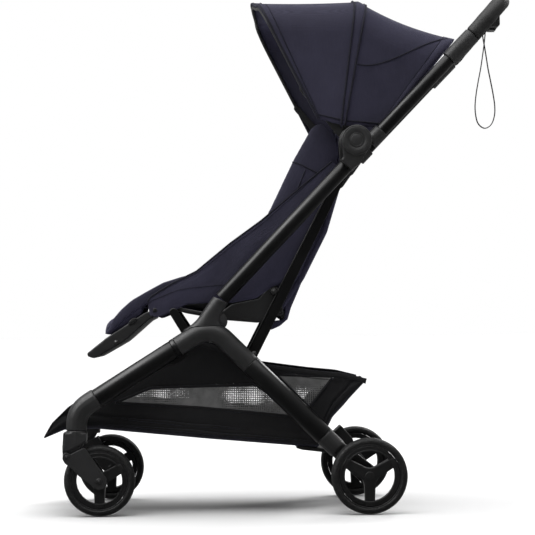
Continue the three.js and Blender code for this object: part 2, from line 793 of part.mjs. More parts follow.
// The back pad: a padded panel with a raised bolster down each side.
function backPad() {
  const [x, z] = RECLINE_PIVOT;
  const rear = [
    [x + 4, z + 21],
    [x + 38, z + 67.4],
    [x + 81.6, z + 153.4],
    [x + 107.5, z + 237.2],
    [x + 117.5, z + 304],
    [x + 110, z + 348],
  ];
  const panel = [
    ...rear,
    [x + 96, z + 356],
    [x + 84, z + 340],
    [x + 80, z + 240],
    [x + 54, z + 165],
    [x + 14, z + 80],
    [x - 14, z + 32],
  ];
  const bolster = [
    ...rear,
    [x + 80, z + 367],
    [x + 62, z + 356],
    [x + 28, z + 299],
    [x - 2, z + 239],
    [x - 28, z + 184],
    [x - 32, z + 120],
    [x - 24, z + 60],
    [x - 14, z + 32],
  ];
  return join([
    plate(panel, [-130, 130]),
    plate(bolster, [126, 146]),
    plate(bolster, [-146, -126]),
  ]);
}

// The side panel: fabric hung between the seat, the backrest and the seat tube.
function sidePanel() {
  const outline = [
    [-252, 384],
    [-250, 399],
    [-244, 409],
    [-206, 432],
    [-157, 456],
    [-93, 508],
    [-33, 551],
    [39, 611],
    [101, 661],
    [110, 655],
    [84, 560],
    [44, 484],
    [12, 436],
    [-14, 425],
    [-45, 404],
    [-88, 396],
    [-138, 396],
    [-175, 394],
    [-207, 379],
    [-232, 369],
    [-244, 372],
  ];
  return plate(outline, LAYER.sidePanel);
}

function legrestBoard() {
  const [x, z] = LEGREST_PIVOT;
  return plate(
    [
      [x - 4, z + 5],
      [x - 15, z + 3],
      [x - 90, z - 45],
      [x - 118, z - 67],
      [x - 127, z - 74],
      [x - 125, z - 80],
      [x - 113, z - 84],
      [x - 103, z - 79],
      [x - 57, z - 53],
      [x - 10, z - 12],
      [x + 1, z - 7],
    ],
    [-132, 132],
  );
}

function calfPad() {
  return shape(
    solid(
      plate(
        [
          [-330, 334],
          [-338, 334],
          [-334, 347],
          [-323, 360],
          [-299, 374],
          [-281, 394],
          [-270, 405],
          [-260, 408],
          [-255, 400],
          [-258, 382],
        ],
        [-136, 136],
      ),
    ),
  );
}

// Two shoulder straps joined by a yoke lie down the back pad. The crotch strap stands on the cushion.
function harness() {
  const [x, z] = RECLINE_PIVOT;
  const strap = [
    [x + 79.4, z + 240],
    [x + 53.4, z + 165.4],
    [x + 13.4, z + 80.4],
    [x - 8, z + 44],
    [x - 11, z + 45.6],
    [x + 10.6, z + 82],
    [x + 50.6, z + 167],
    [x + 76.6, z + 241],
  ];
  const yoke = [strap[0], [x + 68.5, z + 208.6], [x + 65.7, z + 209.6], strap.at(-1)];
  add(
    "shoulder_harness",
    join([plate(strap, [36, 66]), plate(strap, [-66, -36]), plate(yoke, [-40, 40])]),
    "webbing",
  );
  add(
    "harness_buckle",
    plate(
      [
        [-70, 401.2],
        [-64, 400.4],
        [-55, 425],
        [-46, 452],
        [-58, 456],
        [-68, 428],
      ],
      [-24, 24],
    ),
    "casting",
  );
}

function seat() {
  add("seat_board", seatBoard(), "casting");
  add("seat_cushion", seatCushion(), "navy");
  add("recline_bracket", reclineBracket(), "casting");
  add("back_shell", backShell(), "casting");
  add("back_pad", backPad(), "navy");
  addPair("side_panel", sidePanel(), "navy");
  add("legrest_board", legrestBoard(), "casting");
  add("calf_pad", calfPad(), "navy");
  harness();
}

// ---- Canopy -------------------------------------------------------------------------------------

// Hoops of the canopy: the side-view base and top of each, and how far the middle stands above the corners.
const HOOPS = {
  front: { base: [75, 741], top: [-38, 966], crown: 22 },
  ridge: { base: [121, 728], top: [160, 968], crown: 19 },
  rear: { base: [181, 724], top: [330, 895], crown: 17 },
};

// A point of a hoop: along runs from one foot (0) over the top to the other (1).
function hoopPoints({ base, top, crown }, inset, columns) {
  const height = Math.hypot(top[0] - base[0], top[1] - base[1]);
  const [ux, uz] = [(top[0] - base[0]) / height, (top[1] - base[1]) / height];
  const half = CANOPY.halfWidth - inset;
  const corner = CANOPY.corner - inset;
  const rise = height - inset;
  const halfPath = [];
  for (let i = 0; i < columns.side; i++) halfPath.push([((rise - corner) * i) / columns.side, half]);
  for (let i = 0; i <= columns.corner; i++) {
    const turn = (Math.PI / 2) * (i / columns.corner);
    halfPath.push([rise - corner + corner * Math.sin(turn), half - corner + corner * Math.cos(turn)]);
  }
  const flat = half - corner;
  for (let i = 1; i <= columns.top; i++) {
    const share = i / columns.top;
    halfPath.push([rise + crown * Math.sin((share * Math.PI) / 2) ** 2, flat * (1 - share)]);
  }
  const place = ([r, y]) => [base[0] + ux * r, y, base[1] + uz * r];
  const right = halfPath.map(place);
  const left = right.slice(0, -1).reverse().map(([x, y, z]) => [x, -y, z]);
  return [...right, ...left];
}

// The hoop part of the way between two hoops, drawn in a little because the cloth sags between bows.
function hoopBetween(from, to, share, sag) {
  const mix = (a, b) => a + (b - a) * share;
  const mixed = {
    base: [mix(from.base[0], to.base[0]), mix(from.base[1], to.base[1])],
    top: [mix(from.top[0], to.top[0]), mix(from.top[1], to.top[1])],
    crown: mix(from.crown, to.crown),
  };
  const drop = sag * 4 * share * (1 - share);
  mixed.top = towards(mixed.top, mixed.base, drop);
  return mixed;
}

function canopyPanel(from, to, sag, rows) {
  const columns = { side: 3, corner: 4, top: 3 };
  const grid = (inset) =>
    Array.from({ length: rows + 1 }, (_, i) =>
      hoopPoints(hoopBetween(from, to, 0.012 + (0.976 * i) / rows, sag), inset, columns),
    );
  return skin(grid(0), grid(CANOPY.skin));
}

// A bow: a round hoop under the fabric, with a flat blade at each foot that turns on the canopy's pin.
function bow(hoop, layer) {
  const inset = CANOPY.skin + RADIUS.bow + 1.1;
  const lowered = { ...hoop, crown: hoop.crown - 1.5 };
  const points = hoopPoints(lowered, inset, { side: 3, corner: 4, top: 3 });
  const path = new THREE.CatmullRomCurve3(points.slice(1, -1).map((p) => new THREE.Vector3(...p)));
  const hoopBar = sweep(path, RADIUS.bow, { sides: 6, steps: 32 });
  const foot = points[1];
  const outline = belt(CANOPY_PIVOT, 8, [foot[0], foot[2]], 6, 6);
  const bore = disc(CANOPY_PIVOT, RADIUS.pin + 0.4, [-200, 200], 12);
  const other = [-layer[1], -layer[0]];
  return join([hoopBar, plate(outline, layer), plate(outline, other)], [bore]);
}

function canopy() {
  add("canopy_front_panel", canopyPanel(HOOPS.front, HOOPS.ridge, 4, 3), "navy");
  add("canopy_rear_panel", canopyPanel(HOOPS.ridge, HOOPS.rear, 9, 4), "navy");
  add("front_bow", bow(HOOPS.front, LAYER.frontBow), "casting");
  add("ridge_bow", bow(HOOPS.ridge, LAYER.midBow), "casting");
}

wheels();
chassis();
frontEnd();
seatTubesAndHandle();
linkages();
seat();
canopy();

export default stroller;
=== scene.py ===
"""Looks of a folding baby stroller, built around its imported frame.

Metres. +Z is up, the child faces -X, Y runs across the width, and Z = 0 is the ground.
"""
import json
import math

import bmesh
import bpy
import numpy as np
from mathutils import Matrix, Vector, noise
from mathutils.bvhtree import BVHTree


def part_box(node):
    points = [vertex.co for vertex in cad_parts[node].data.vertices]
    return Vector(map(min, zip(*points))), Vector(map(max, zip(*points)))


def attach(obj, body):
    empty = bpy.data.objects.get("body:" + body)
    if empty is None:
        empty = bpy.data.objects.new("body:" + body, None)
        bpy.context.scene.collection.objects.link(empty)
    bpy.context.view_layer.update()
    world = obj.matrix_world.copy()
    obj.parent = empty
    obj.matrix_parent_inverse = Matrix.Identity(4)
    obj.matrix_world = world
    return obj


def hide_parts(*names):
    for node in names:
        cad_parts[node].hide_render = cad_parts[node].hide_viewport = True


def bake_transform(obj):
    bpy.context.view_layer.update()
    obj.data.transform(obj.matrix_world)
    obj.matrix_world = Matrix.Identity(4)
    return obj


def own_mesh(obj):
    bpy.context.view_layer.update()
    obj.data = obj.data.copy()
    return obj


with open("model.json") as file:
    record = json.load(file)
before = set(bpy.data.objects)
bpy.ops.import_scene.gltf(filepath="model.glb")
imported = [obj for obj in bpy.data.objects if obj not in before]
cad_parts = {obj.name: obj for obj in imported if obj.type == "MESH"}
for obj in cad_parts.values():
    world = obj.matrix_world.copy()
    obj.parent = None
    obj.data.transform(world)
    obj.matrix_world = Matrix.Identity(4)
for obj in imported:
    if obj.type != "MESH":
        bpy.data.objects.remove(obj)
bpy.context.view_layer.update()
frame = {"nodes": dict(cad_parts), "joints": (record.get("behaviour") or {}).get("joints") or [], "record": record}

MM = 0.001
SIDES = {"right": 1, "left": -1}
BODY_OF = {node: body for body, nodes in frame["record"]["behaviour"]["bodies"].items() for node in nodes}


def flat(point):
    """A point's side-view place, on the centre plane."""
    return Vector((point[0], 0, point[2]))


PIVOT = {joint["name"]: flat(joint["pos_m"]) for joint in frame["joints"] if "pos_m" in joint}
MAIN_PIVOT = PIVOT["fold"]
HUB = PIVOT["handle_fold"]
STRUT_FOOT = PIVOT["strut_fold"]
SEAT_PIVOT = PIVOT["seat_fold"]
ARM_PIVOT = PIVOT["suspension_left"]
CANOPY_PIVOT = PIVOT["canopy"]

# Places that no joint gives, on the centre plane.
PLANE = 185 * MM  # the middle of the legs and tubes lies this far out
STRUT_TOP = Vector((130, 0, 645)) * MM
COLLAR_SEAM = Vector((-193, 0, 314.5)) * MM
ELBOW_SEAM = Vector((-344.6, 0, 220)) * MM
ARCH_CORNER = Vector((-131.7, 0, 352.8)) * MM
ARCH_SEAM = Vector((-58, 0, 280)) * MM
LINK_FOOT = PIVOT["link_fold"]
COLLAR_PIVOT = PIVOT["front_leg_fold"]
GRIP_SEAM = Vector((367, 0, 894.5)) * MM
CROSSBAR = Vector((432.5, 0, 968.5)) * MM


# ---- Camera -------------------------------------------------------------------------------------

CAMERA_AT = Vector((-0.095, -3.85, 0.350))
LENS_MM = 131.75514
SENSOR_MM = 36.0
ROLL = math.radians(0.6)
AIM_RIGHT = 0.0191522  # how far to the right and up the camera looks, for each metre ahead
AIM_UP = 0.0303882


def make_camera():
    right = Vector((math.cos(ROLL), 0, -math.sin(ROLL)))
    up = Vector((math.sin(ROLL), 0, math.cos(ROLL)))
    ahead = (Vector((0, 1, 0)) + right * AIM_RIGHT + up * AIM_UP).normalized()
    right = (right - ahead * right.dot(ahead)).normalized()
    up = right.cross(ahead)
    turn = Matrix((right, up, -ahead)).transposed().to_4x4()
    data = bpy.data.cameras.new("camera")
    data.lens = LENS_MM
    data.sensor_width = SENSOR_MM
    camera = bpy.data.objects.new("camera", data)
    bpy.context.collection.objects.link(camera)
    camera.matrix_world = Matrix.Translation(CAMERA_AT) @ turn
    bpy.context.scene.camera = camera


# ---- Materials ----------------------------------------------------------------------------------


class Look:
    """A material under construction: a Principled shader with nodes that vary over the surface."""

    def __init__(self, name, **shader_values):
        self.material = bpy.data.materials.new(name)
        self.material.use_nodes = True
        self.nodes = self.material.node_tree.nodes
        self.links = self.material.node_tree.links
        self.shader = self.nodes["Principled BSDF"]
        for socket, value in shader_values.items():
            self.shader.inputs[socket.replace("_", " ")].default_value = value
        self.place = self.nodes.new("ShaderNodeTexCoord").outputs["Object"]
        self.normal = None

    def texture(self, kind, scale, stretch=None, **values):
        """A texture's factor or distance, at a scale in cycles per metre."""
        place = self.place
        if stretch:
            mapping = self.nodes.new("ShaderNodeMapping")
            mapping.inputs["Scale"].default_value = stretch
            self.links.new(place, mapping.inputs["Vector"])
            place = mapping.outputs["Vector"]
        node = self.nodes.new(f"ShaderNodeTex{kind}")
        node.inputs["Scale"].default_value = scale
        for name, value in values.items():
            if name in node.inputs:
                node.inputs[name].default_value = value
            else:
                setattr(node, name, value)
        self.links.new(place, node.inputs["Vector"])
        return node.outputs["Distance" if kind == "Voronoi" else "Fac"]

    def mix(self, a, b, operation="MULTIPLY"):
        node = self.nodes.new("ShaderNodeMath")
        node.operation = operation
        for socket, value in zip(node.inputs, (a, b)):
            if isinstance(value, (int, float)):
                socket.default_value = value
            else:
                self.links.new(value, socket)
        return node.outputs[0]

    def ramp(self, factor, stops):
        node = self.nodes.new("ShaderNodeValToRGB")
        ramp = node.color_ramp
        while len(ramp.elements) < len(stops):
            ramp.elements.new(0.5)
        for element, (position, value) in zip(ramp.elements, stops):
            element.position = position
            element.color = (*value, 1) if isinstance(value, tuple) else (value, value, value, 1)
        self.links.new(factor, node.inputs["Fac"])
        return node.outputs["Color"]

    def bump(self, height, depth, strength=1.0):
        """Adds relief: depth is in metres."""
        node = self.nodes.new("ShaderNodeBump")
        node.inputs["Strength"].default_value = strength
        node.inputs["Distance"].default_value = depth
        self.links.new(height, node.inputs["Height"])
        if self.normal:
            self.links.new(self.normal, node.inputs["Normal"])
        self.normal = node.outputs["Normal"]
        return self

    def set(self, socket, value):
        self.links.new(value, self.shader.inputs[socket])
        return self

    def cloudy(self, socket, scale, low, high, detail=4, top=0.7):
        """Lets a socket drift between two values in soft patches."""
        patches = self.texture("Noise", scale, Detail=detail)
        return self.set(socket, self.ramp(patches, [(0.3, low), (top, high)]))

    def done(self):
        if self.normal:
            self.links.new(self.normal, self.shader.inputs["Normal"])
        return self.material


def painted_tube():
    """Satin black powder coat."""
    look = Look("painted_tube", Specular_IOR_Level=0.4)
    look.cloudy("Base Color", 14, (0.004, 0.004, 0.0043), (0.006, 0.006, 0.0063))
    look.cloudy("Roughness", 60, 0.30, 0.38, detail=5, top=0.75)
    return look.bump(look.texture("Noise", 900, Detail=2), 0.00006).done()


def moulded(name, shade=0.014, rough=0.42, grain=700, depth=0.00022):
    """Fine-grained matte moulded plastic, lighter along its sharp edges."""
    look = Look(name, Specular_IOR_Level=0.4)
    edges = look.nodes.new("ShaderNodeNewGeometry").outputs["Pointiness"]
    dark, light = (shade * 0.85,) * 3, (shade * 1.15, shade * 1.15, shade * 1.2)
    body = look.ramp(look.texture("Noise", 20, Detail=4), [(0.3, dark), (0.7, light)])
    colour = look.nodes.new("ShaderNodeMix")
    colour.data_type = "RGBA"
    look.links.new(look.ramp(edges, [(0.5, 0.0), (0.62, 1.0)]), colour.inputs["Factor"])
    look.links.new(body, colour.inputs["A"])
    colour.inputs["B"].default_value = (shade * 1.6, shade * 1.6, shade * 1.65, 1)
    look.set("Base Color", colour.outputs["Result"])
    look.cloudy("Roughness", 90, rough - 0.05, rough + 0.06)
    return look.bump(look.texture("Voronoi", grain), depth).done()


def tyre_rubber():
    look = Look("tyre_rubber", Specular_IOR_Level=0.3)
    look.cloudy("Base Color", 35, 0.006, 0.014, detail=6)
    look.cloudy("Roughness", 120, 0.45, 0.62, detail=5)
    look.bump(look.texture("Voronoi", 330), 0.0008, 0.9)
    return look.bump(look.texture("Noise", 1500, Detail=2), 0.00015).done()


def weave(look, pitch, depth):
    """Relief of a plain weave whose threads run with the object's axes."""
    bands = {"wave_type": "BANDS", "Distortion": 0.6, "Detail": 1}
    lines = [look.texture("Wave", 0.314 / pitch, bands_direction=axis, **bands) for axis in "XYZ"]
    crossed = look.mix(look.mix(lines[0], lines[1], "ADD"), lines[2], "ADD")
    look.bump(crossed, depth)
    return crossed


def cloth(name, dark, light, pitch=0.0009, sheen=0.35, crease=0.0015):
    """Woven cloth with slubs, faint wear and soft creasing."""
    look = Look(name, Roughness=0.82, Sheen_Weight=sheen, Sheen_Roughness=0.45, Specular_IOR_Level=0.25)
    look.shader.inputs["Sheen Tint"].default_value = (0.5, 0.5, 0.85, 1)
    patches = look.texture("Noise", 9, Detail=6, Roughness=0.6)
    slubs = look.texture("Noise", 420, stretch=(1, 1, 0.15), Detail=2)
    shade = look.mix(look.mix(patches, 0.75), look.mix(slubs, 0.25), "ADD")
    look.set("Base Color", look.ramp(shade, [(0.32, dark), (0.68, light)]))
    look.bump(look.texture("Noise", 26, Detail=3, Distortion=0.3), crease, 0.5)
    weave(look, pitch, 0.00016)
    return look.done()


def mesh_window():
    """Grey see-through netting: round holes in rows."""
    look = Look("netting", Roughness=0.75, Specular_IOR_Level=0.2)
    look.cloudy("Base Color", 60, 0.075, 0.11, detail=3)
    holes = look.texture("Voronoi", 280, Randomness=0.1)
    look.set("Alpha", look.ramp(holes, [(0.33, 0.0), (0.43, 1.0)]))
    return look.done()


def leatherette():
    look = Look("leatherette", Specular_IOR_Level=0.45)
    cells = look.texture("Voronoi", 520)
    look.cloudy("Base Color", 40, 0.012, 0.02, detail=5)
    look.set("Roughness", look.ramp(cells, [(0.0, 0.42), (0.6, 0.6)]))
    look.bump(look.texture("Noise", 110, Detail=4), 0.0004)
    return look.bump(cells, 0.00035).done()


def webbing():
    look = Look("webbing", Roughness=0.8, Sheen_Weight=0.2, Specular_IOR_Level=0.25)
    ribs = look.texture("Wave", 320, wave_type="BANDS", bands_direction="DIAGONAL", Distortion=0.4)
    look.cloudy("Base Color", 90, 0.008, 0.018)
    return look.bump(ribs, 0.0003).done()


def steel():
    look = Look("bolt_steel", Metallic=0.9, Specular_IOR_Level=0.5)
    look.cloudy("Base Color", 80, 0.10, 0.16)
    look.cloudy("Roughness", 200, 0.25, 0.42)
    return look.bump(look.texture("Noise", 1200), 0.00004).done()


NAVY_DARK = (0.0205, 0.0190, 0.0380)
NAVY_LIGHT = (0.0320, 0.0300, 0.0560)
TUBE = painted_tube()
PLASTIC = moulded("black_casting", shade=0.019)
RIM = moulded("black_rim", shade=0.008, rough=0.40, grain=900, depth=0.00015)
GLOSSY = moulded("smooth_black_plastic", shade=0.012, rough=0.33, grain=2400, depth=0.00003)
RUBBER = tyre_rubber()
NAVY = cloth("navy_cloth", NAVY_DARK, NAVY_LIGHT, sheen=0.18)
BLACK_CLOTH = cloth("black_cloth", (0.004, 0.004, 0.0043), (0.009, 0.009, 0.0095), pitch=0.0011, sheen=0.12)
# Darker navy for piping and seams, darkened further to paint the shade that falls along the seams.
PIPING_AND_SEAM_SHADE = cloth("navy_piping_and_seam_shade", (0.006, 0.0055, 0.011), (0.010, 0.0095, 0.018), 0.0006, 0.12, 0.0002)
NET = mesh_window()
LEATHER = leatherette()
WEBBING = webbing()
STEEL = steel()


# ---- Mesh helpers -------------------------------------------------------------------------------


def to_object(name, mesh, material, body=None, replaces=()):
    """A piece from a mesh, riding on a body."""
    piece = bpy.data.objects.new(name, mesh)
    bpy.context.collection.objects.link(piece)
    mesh.materials.clear()
    mesh.materials.append(material)
    mesh.shade_smooth()
    if body:
        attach(piece, body)
    if replaces:
        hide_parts(*replaces)
    return piece


def mesh_from(name, points, faces):
    mesh = bpy.data.meshes.new(name)
    mesh.from_pydata([tuple(p) for p in points], [], faces)
    mesh.validate()
    return mesh


def outward(mesh):
    """Turns every face of a closed mesh outwards."""
    edit = bmesh.new()
    edit.from_mesh(mesh)
    bmesh.ops.recalc_face_normals(edit, faces=edit.faces)
    edit.to_mesh(mesh)
    edit.free()
    return mesh


def merge(name, meshes):
    """One mesh of several, with their faces kept apart."""
    edit = bmesh.new()
    for mesh in meshes:
        edit.from_mesh(mesh)
    made = bpy.data.meshes.new(name)
    edit.to_mesh(made)
    edit.free()
    return made


def baked(mesh, *steps):
    """The mesh with modifiers applied. Each step is a modifier's type and its settings."""
    work = bpy.data.objects.new("work", mesh)
    bpy.context.collection.objects.link(work)
    for kind, settings in steps:
        modifier = work.modifiers.new(kind, kind)
        for name, value in settings.items():
            setattr(modifier, name, value)
    evaluated = work.evaluated_get(bpy.context.evaluated_depsgraph_get())
    made = bpy.data.meshes.new_from_object(evaluated)
    bpy.data.objects.remove(work)
    return made


def melted(mesh, voxel, rounds=5):
    """Fuses overlapping closed shapes into one skin with soft edges, as a moulding has."""
    return baked(
        mesh,
        ("REMESH", {"mode": "VOXEL", "voxel_size": voxel, "adaptivity": 0.0}),
        ("SMOOTH", {"factor": 0.5, "iterations": rounds}),
    )


def mirrored(mesh):
    made = mesh.copy()
    made.transform(Matrix.Diagonal((1, -1, 1, 1)))
    made.flip_normals()
    return made


def ring(centre, normal, radius, count, flatten=1.0, across=None):
    """A circle of points round a centre. across is the direction of the first radius."""
    normal = normal.normalized()
    u = across if across else normal.orthogonal().normalized()
    u = (u - normal * u.dot(normal)).normalized()
    v = normal.cross(u)
    turns = [2 * math.pi * i / count for i in range(count)]
    return [centre + (u * math.cos(t) + v * math.sin(t) * flatten) * radius for t in turns]


def loft(name, rings, looped=False):
    """A skin through rings with the same number of points."""
    count = len(rings[0])
    points = [p for r in rings for p in r]
    faces = []
    spans = len(rings) if looped else len(rings) - 1
    for i in range(spans):
        low, high = i * count, ((i + 1) % len(rings)) * count
        for k in range(count):
            following = (k + 1) % count
            faces.append((low + k, low + following, high + following, high + k))
    if not looped:
        faces.append(tuple(reversed(range(count))))
        faces.append(tuple(range(len(points) - count, len(points))))
    return outward(mesh_from(name, points, faces))


def turned(name, start, end, profile, count=48):
    """A turned shape on the line from start to end. profile is a list of (share of the length, radius)."""
    along = end - start
    rings = [ring(start + along * share, along, max(radius, 1e-5), count) for share, radius in profile]
    return loft(name, rings)


def bar(name, start, end, radius, edge=0.0008, count=48):
    """A round bar with eased ends."""
    share = edge / (end - start).length
    profile = [(0, radius - edge), (share * 0.3, radius - edge * 0.3), (share, radius)]
    profile += [(1 - s, r) for s, r in reversed(profile)]
    return turned(name, start, end, profile, count)


def swept(name, path, radius, count=32, flatten=1.0, across=Vector((0, 1, 0))):
    """A bar along a path of points. radius may be a function of the share of the way along."""
    rings = []
    for i, point in enumerate(path):
        before = path[max(i - 1, 0)]
        after = path[min(i + 1, len(path) - 1)]
        here = radius(i / (len(path) - 1)) if callable(radius) else radius
        rings.append(ring(point, after - before, here, count, flatten=flatten, across=across))
    return loft(name, rings)


def slab(name, outline, low, high, bevel=0.0, segments=3):
    """A flat piece with a side-view outline of (x, z) points, between two distances across the width."""
    count = len(outline)
    points = [(x, y, z) for y in (low, high) for x, z in outline]
    faces = [tuple(range(count)), tuple(range(2 * count - 1, count - 1, -1))]
    faces += [(k, (k + 1) % count, count + (k + 1) % count, count + k) for k in range(count)]
    mesh = outward(mesh_from(name, points, faces))
    if bevel:
        settings = {"width": bevel, "segments": segments, "limit_method": "ANGLE", "angle_limit": 0.6}
        mesh = baked(mesh, ("BEVEL", settings))
    return mesh


def rounded(corners, lengths, steps=8):
    """A path through corner points, each inner corner eased over a length on each side."""
    path = [corners[0]]
    for i in range(1, len(corners) - 1):
        corner = corners[i]
        into = corner + (corners[i - 1] - corner).normalized() * lengths[i - 1]
        out = corner + (corners[i + 1] - corner).normalized() * lengths[i - 1]
        for k in range(steps + 1):
            t = k / steps
            path.append(into * (1 - t) ** 2 + corner * 2 * t * (1 - t) + out * t * t)
    path.append(corners[-1])
    return path


def evenly(path, count):
    """The same path with points spaced evenly."""
    lengths = [0.0]
    for a, b in zip(path, path[1:]):
        lengths.append(lengths[-1] + (b - a).length)
    made = []
    k = 0
    for i in range(count):
        want = lengths[-1] * i / (count - 1)
        while k < len(path) - 2 and lengths[k + 1] < want:
            k += 1
        span = lengths[k + 1] - lengths[k]
        made.append(path[k].lerp(path[k + 1], (want - lengths[k]) / span if span else 0))
    return made


def catmull(points, steps):
    """A smooth curve through points."""
    made = []
    for i in range(len(points) - 1):
        p0, p1 = points[max(i - 1, 0)], points[i]
        p2, p3 = points[i + 1], points[min(i + 2, len(points) - 1)]
        for k in range(steps):
            t = k / steps
            made.append(0.5 * (2 * p1 + (p2 - p0) * t + (2 * p0 - 5 * p1 + 4 * p2 - p3) * t * t
                               + (3 * p1 - p0 - 3 * p2 + p3) * t ** 3))
    made.append(points[-1])
    return made


def run_length(path):
    return sum((b - a).length for a, b in zip(path, path[1:]))


def sheet(name, rows, thickness):
    """A cloth of a given thickness through a grid of points."""
    columns = len(rows[0])
    points = [p for row in rows for p in row]
    faces = []
    for r in range(len(rows) - 1):
        for c in range(columns - 1):
            a = r * columns + c
            faces.append((a, a + 1, a + columns + 1, a + columns))
    return baked(mesh_from(name, points, faces), ("SOLIDIFY", {"thickness": thickness, "offset": 0}))


def close_cut(edit, origin, count):
    """Closes the cut edge of a two-layered skin, whose inner layer is numbered count after its outer one."""
    by_number = {vertex[origin]: vertex for vertex in edit.verts}
    for edge in [e for e in edit.edges if e.is_boundary and max(v[origin] for v in e.verts) < count]:
        a, b = edge.verts
        c, d = by_number.get(b[origin] + count), by_number.get(a[origin] + count)
        if c and d and not edit.faces.get((a, b, c, d)):
            edit.faces.new((a, b, c, d))
    bmesh.ops.recalc_face_normals(edit, faces=edit.faces)


def node_ends(node):
    """The end points and radius of a straight round bar among the CAD nodes, lower end first."""
    points = np.array([v.co for v in frame["nodes"][node].data.vertices])
    middle = points.mean(axis=0)
    axis = np.linalg.svd(points - middle, full_matrices=False)[2][0]
    axis = axis if axis[2] > 0 or (abs(axis[2]) < 1e-6 and axis[1] > 0) else -axis
    reach = (points - middle) @ axis
    radius = np.linalg.norm((points - middle) - np.outer(reach, axis), axis=1).max()
    ends = [Vector(middle + axis * reach.min()), Vector(middle + axis * reach.max())]
    return ends[0], ends[1], float(radius)


def cast_node(node, voxel, rounds=5, material=None):
    """A moulded version of a CAD node: the same shape with its facets gone and its edges eased."""
    mesh = melted(frame["nodes"][node].data.copy(), voxel, rounds)
    return to_object(f"{node}_moulding", mesh, material or PLASTIC, BODY_OF[node], [node])


def in_metres(outline):
    """A side-view outline given in millimetres."""
    return [(x * MM, z * MM) for x, z in outline]


def outer_face(node, sign):
    """The distance of a node's outer face from the centre plane."""
    low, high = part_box(node)
    return high[1] if sign > 0 else low[1]


def piped(name, path, radius, count, body):
    """Piping or a raised seam along a path, in the darker navy that also paints the shade along the seam."""
    return to_object(name, swept(name, path, radius, count), PIPING_AND_SEAM_SHADE, body)


def soft_slab(name, outline, half, voxel, rounds):
    """A soft form with a side-view outline in millimetres, reaching half its width to each side."""
    mesh = melted(slab(name, in_metres(outline), -half, half), voxel, rounds)
    return baked(mesh, ("SUBSURF", {"levels": 1}))


def pair(name, make, material, body, replaces=()):
    """A right piece and its mirrored left one. body and replaces may hold {side}."""
    mesh = make(name)
    for side, sign in SIDES.items():
        half = mesh if sign > 0 else mirrored(mesh)
        nodes = [n.format(side=side) for n in replaces]
        to_object(f"{name}_{side}", half, material, body.format(side=side), nodes)


# ---- Tubes and castings -------------------------------------------------------------------------


def make_bar(name, material, edge=0.0008):
    start, end, radius = node_ends(name)
    to_object(f"{name}_skin", bar(name, start, end, radius, edge), material, BODY_OF[name], [name])


def make_tubes():
    for node, material, slot, edge in (
        ("rear_leg", TUBE, "tube", 0.0004),
        ("seat_tube", TUBE, "tube", 0.0004),
        ("upper_tube", TUBE, "tube", 0.0004),
        ("sleeve", PLASTIC, "casting", 0.0012),
    ):
        for side in SIDES:
            make_bar(f"{node}_{side}", material, edge)
    make_bar("front_cross_bar", TUBE)
    make_bar("rear_axle", STEEL)


def make_castings():
    for side in SIDES:
        for node, voxel, rounds in (
            ("elbow", 0.0014, 8),
            ("caster_head", 0.0011, 5),
            ("swing_arm", 0.0010, 4),
            ("hub", 0.0012, 6),
            ("arm_socket", 0.0012, 6),
        ):
            cast_node(f"{node}_{side}", voxel, rounds)
        cast_node(f"seat_link_{side}", 0.0010, 3, TUBE)
    for node in ("rear_axle_beam", "brake_pedal", "seat_board", "recline_bracket"):
        cast_node(node, 0.0018, 5)
    cast_node("legrest_board", 0.0022, 5)
    for node in ("front_bow", "ridge_bow"):
        cast_node(node, 0.0012, 4)


def outline_round(a, a_radius, b, b_radius, steps=14):
    """The side-view outline of a strap laid round two circles, as (x, z) points."""
    heading = math.atan2(b.z - a.z, b.x - a.x)
    lean = math.acos((a_radius - b_radius) / (b - a).length)
    made = []
    for centre, radius, start, sweep in (
        (a, a_radius, heading + lean, 2 * math.pi - 2 * lean),
        (b, b_radius, heading - lean, 2 * lean),
    ):
        for i in range(steps + 1):
            turn = start + sweep * i / steps
            made.append((centre.x + radius * math.cos(turn), centre.z + radius * math.sin(turn)))
    return made


def cut_away(mesh, *tools):
    """The mesh with other closed meshes taken out of it."""
    for tool in tools:
        cutter = bpy.data.objects.new("cutter", tool)
        bpy.context.collection.objects.link(cutter)
        mesh = baked(mesh, ("BOOLEAN", {"operation": "DIFFERENCE", "object": cutter, "solver": "EXACT"}))
        bpy.data.objects.remove(cutter)
    return mesh


def cross_pin(centre, radius, inner, outer, count=48):
    """A round bar across the width, between two distances from the centre plane."""
    start, end = Vector((centre.x, inner, centre.z)), Vector((centre.x, outer, centre.z))
    return turned("pin", start, end, [(0, radius), (1, radius)], count)


def at_side(points):
    return [Vector((p.x, PLANE, p.z)) for p in points]


def arch_body(radius):
    """The bent bar of the arch casting."""
    path = rounded(at_side([COLLAR_SEAM, ARCH_CORNER, ARCH_SEAM]), [39 * MM], 24)
    return swept("arch", evenly(path, 90), radius, 56)


def make_arch(name):
    """The arch casting: a smooth bend with pockets for the feet of the seat tube and the front leg."""
    body = cut_away(
        arch_body(18.3 * MM),
        cross_pin(MAIN_PIVOT, 18.8 * MM, 150 * MM, 186.1 * MM),
        cross_pin(COLLAR_PIVOT, 11.6 * MM, 150 * MM, 186.1 * MM),
    )
    pins = [cross_pin(p, 4.5 * MM, 153.8 * MM, 176 * MM, 24) for p in (LINK_FOOT, STRUT_FOOT)]
    hinge = cross_pin(MAIN_PIVOT, 4.5 * MM, 168 * MM, 190 * MM, 24)
    return merge(name, [body, hinge] + pins)


# The left and the right edge of the socket in side view, from its top down.
SOCKET_EDGES = [
    ((-125.8, 407.3), (-97.7, 394.6)), ((-136, 394), (-106, 382.5)), ((-147, 378.5), (-112.5, 371)),
    ((-157.4, 364), (-113.6, 361)), ((-170, 353), (-108, 352)), ((-184, 344), (-96, 344)),
]
SOCKET_HALF_DEPTH = 15.4 * MM


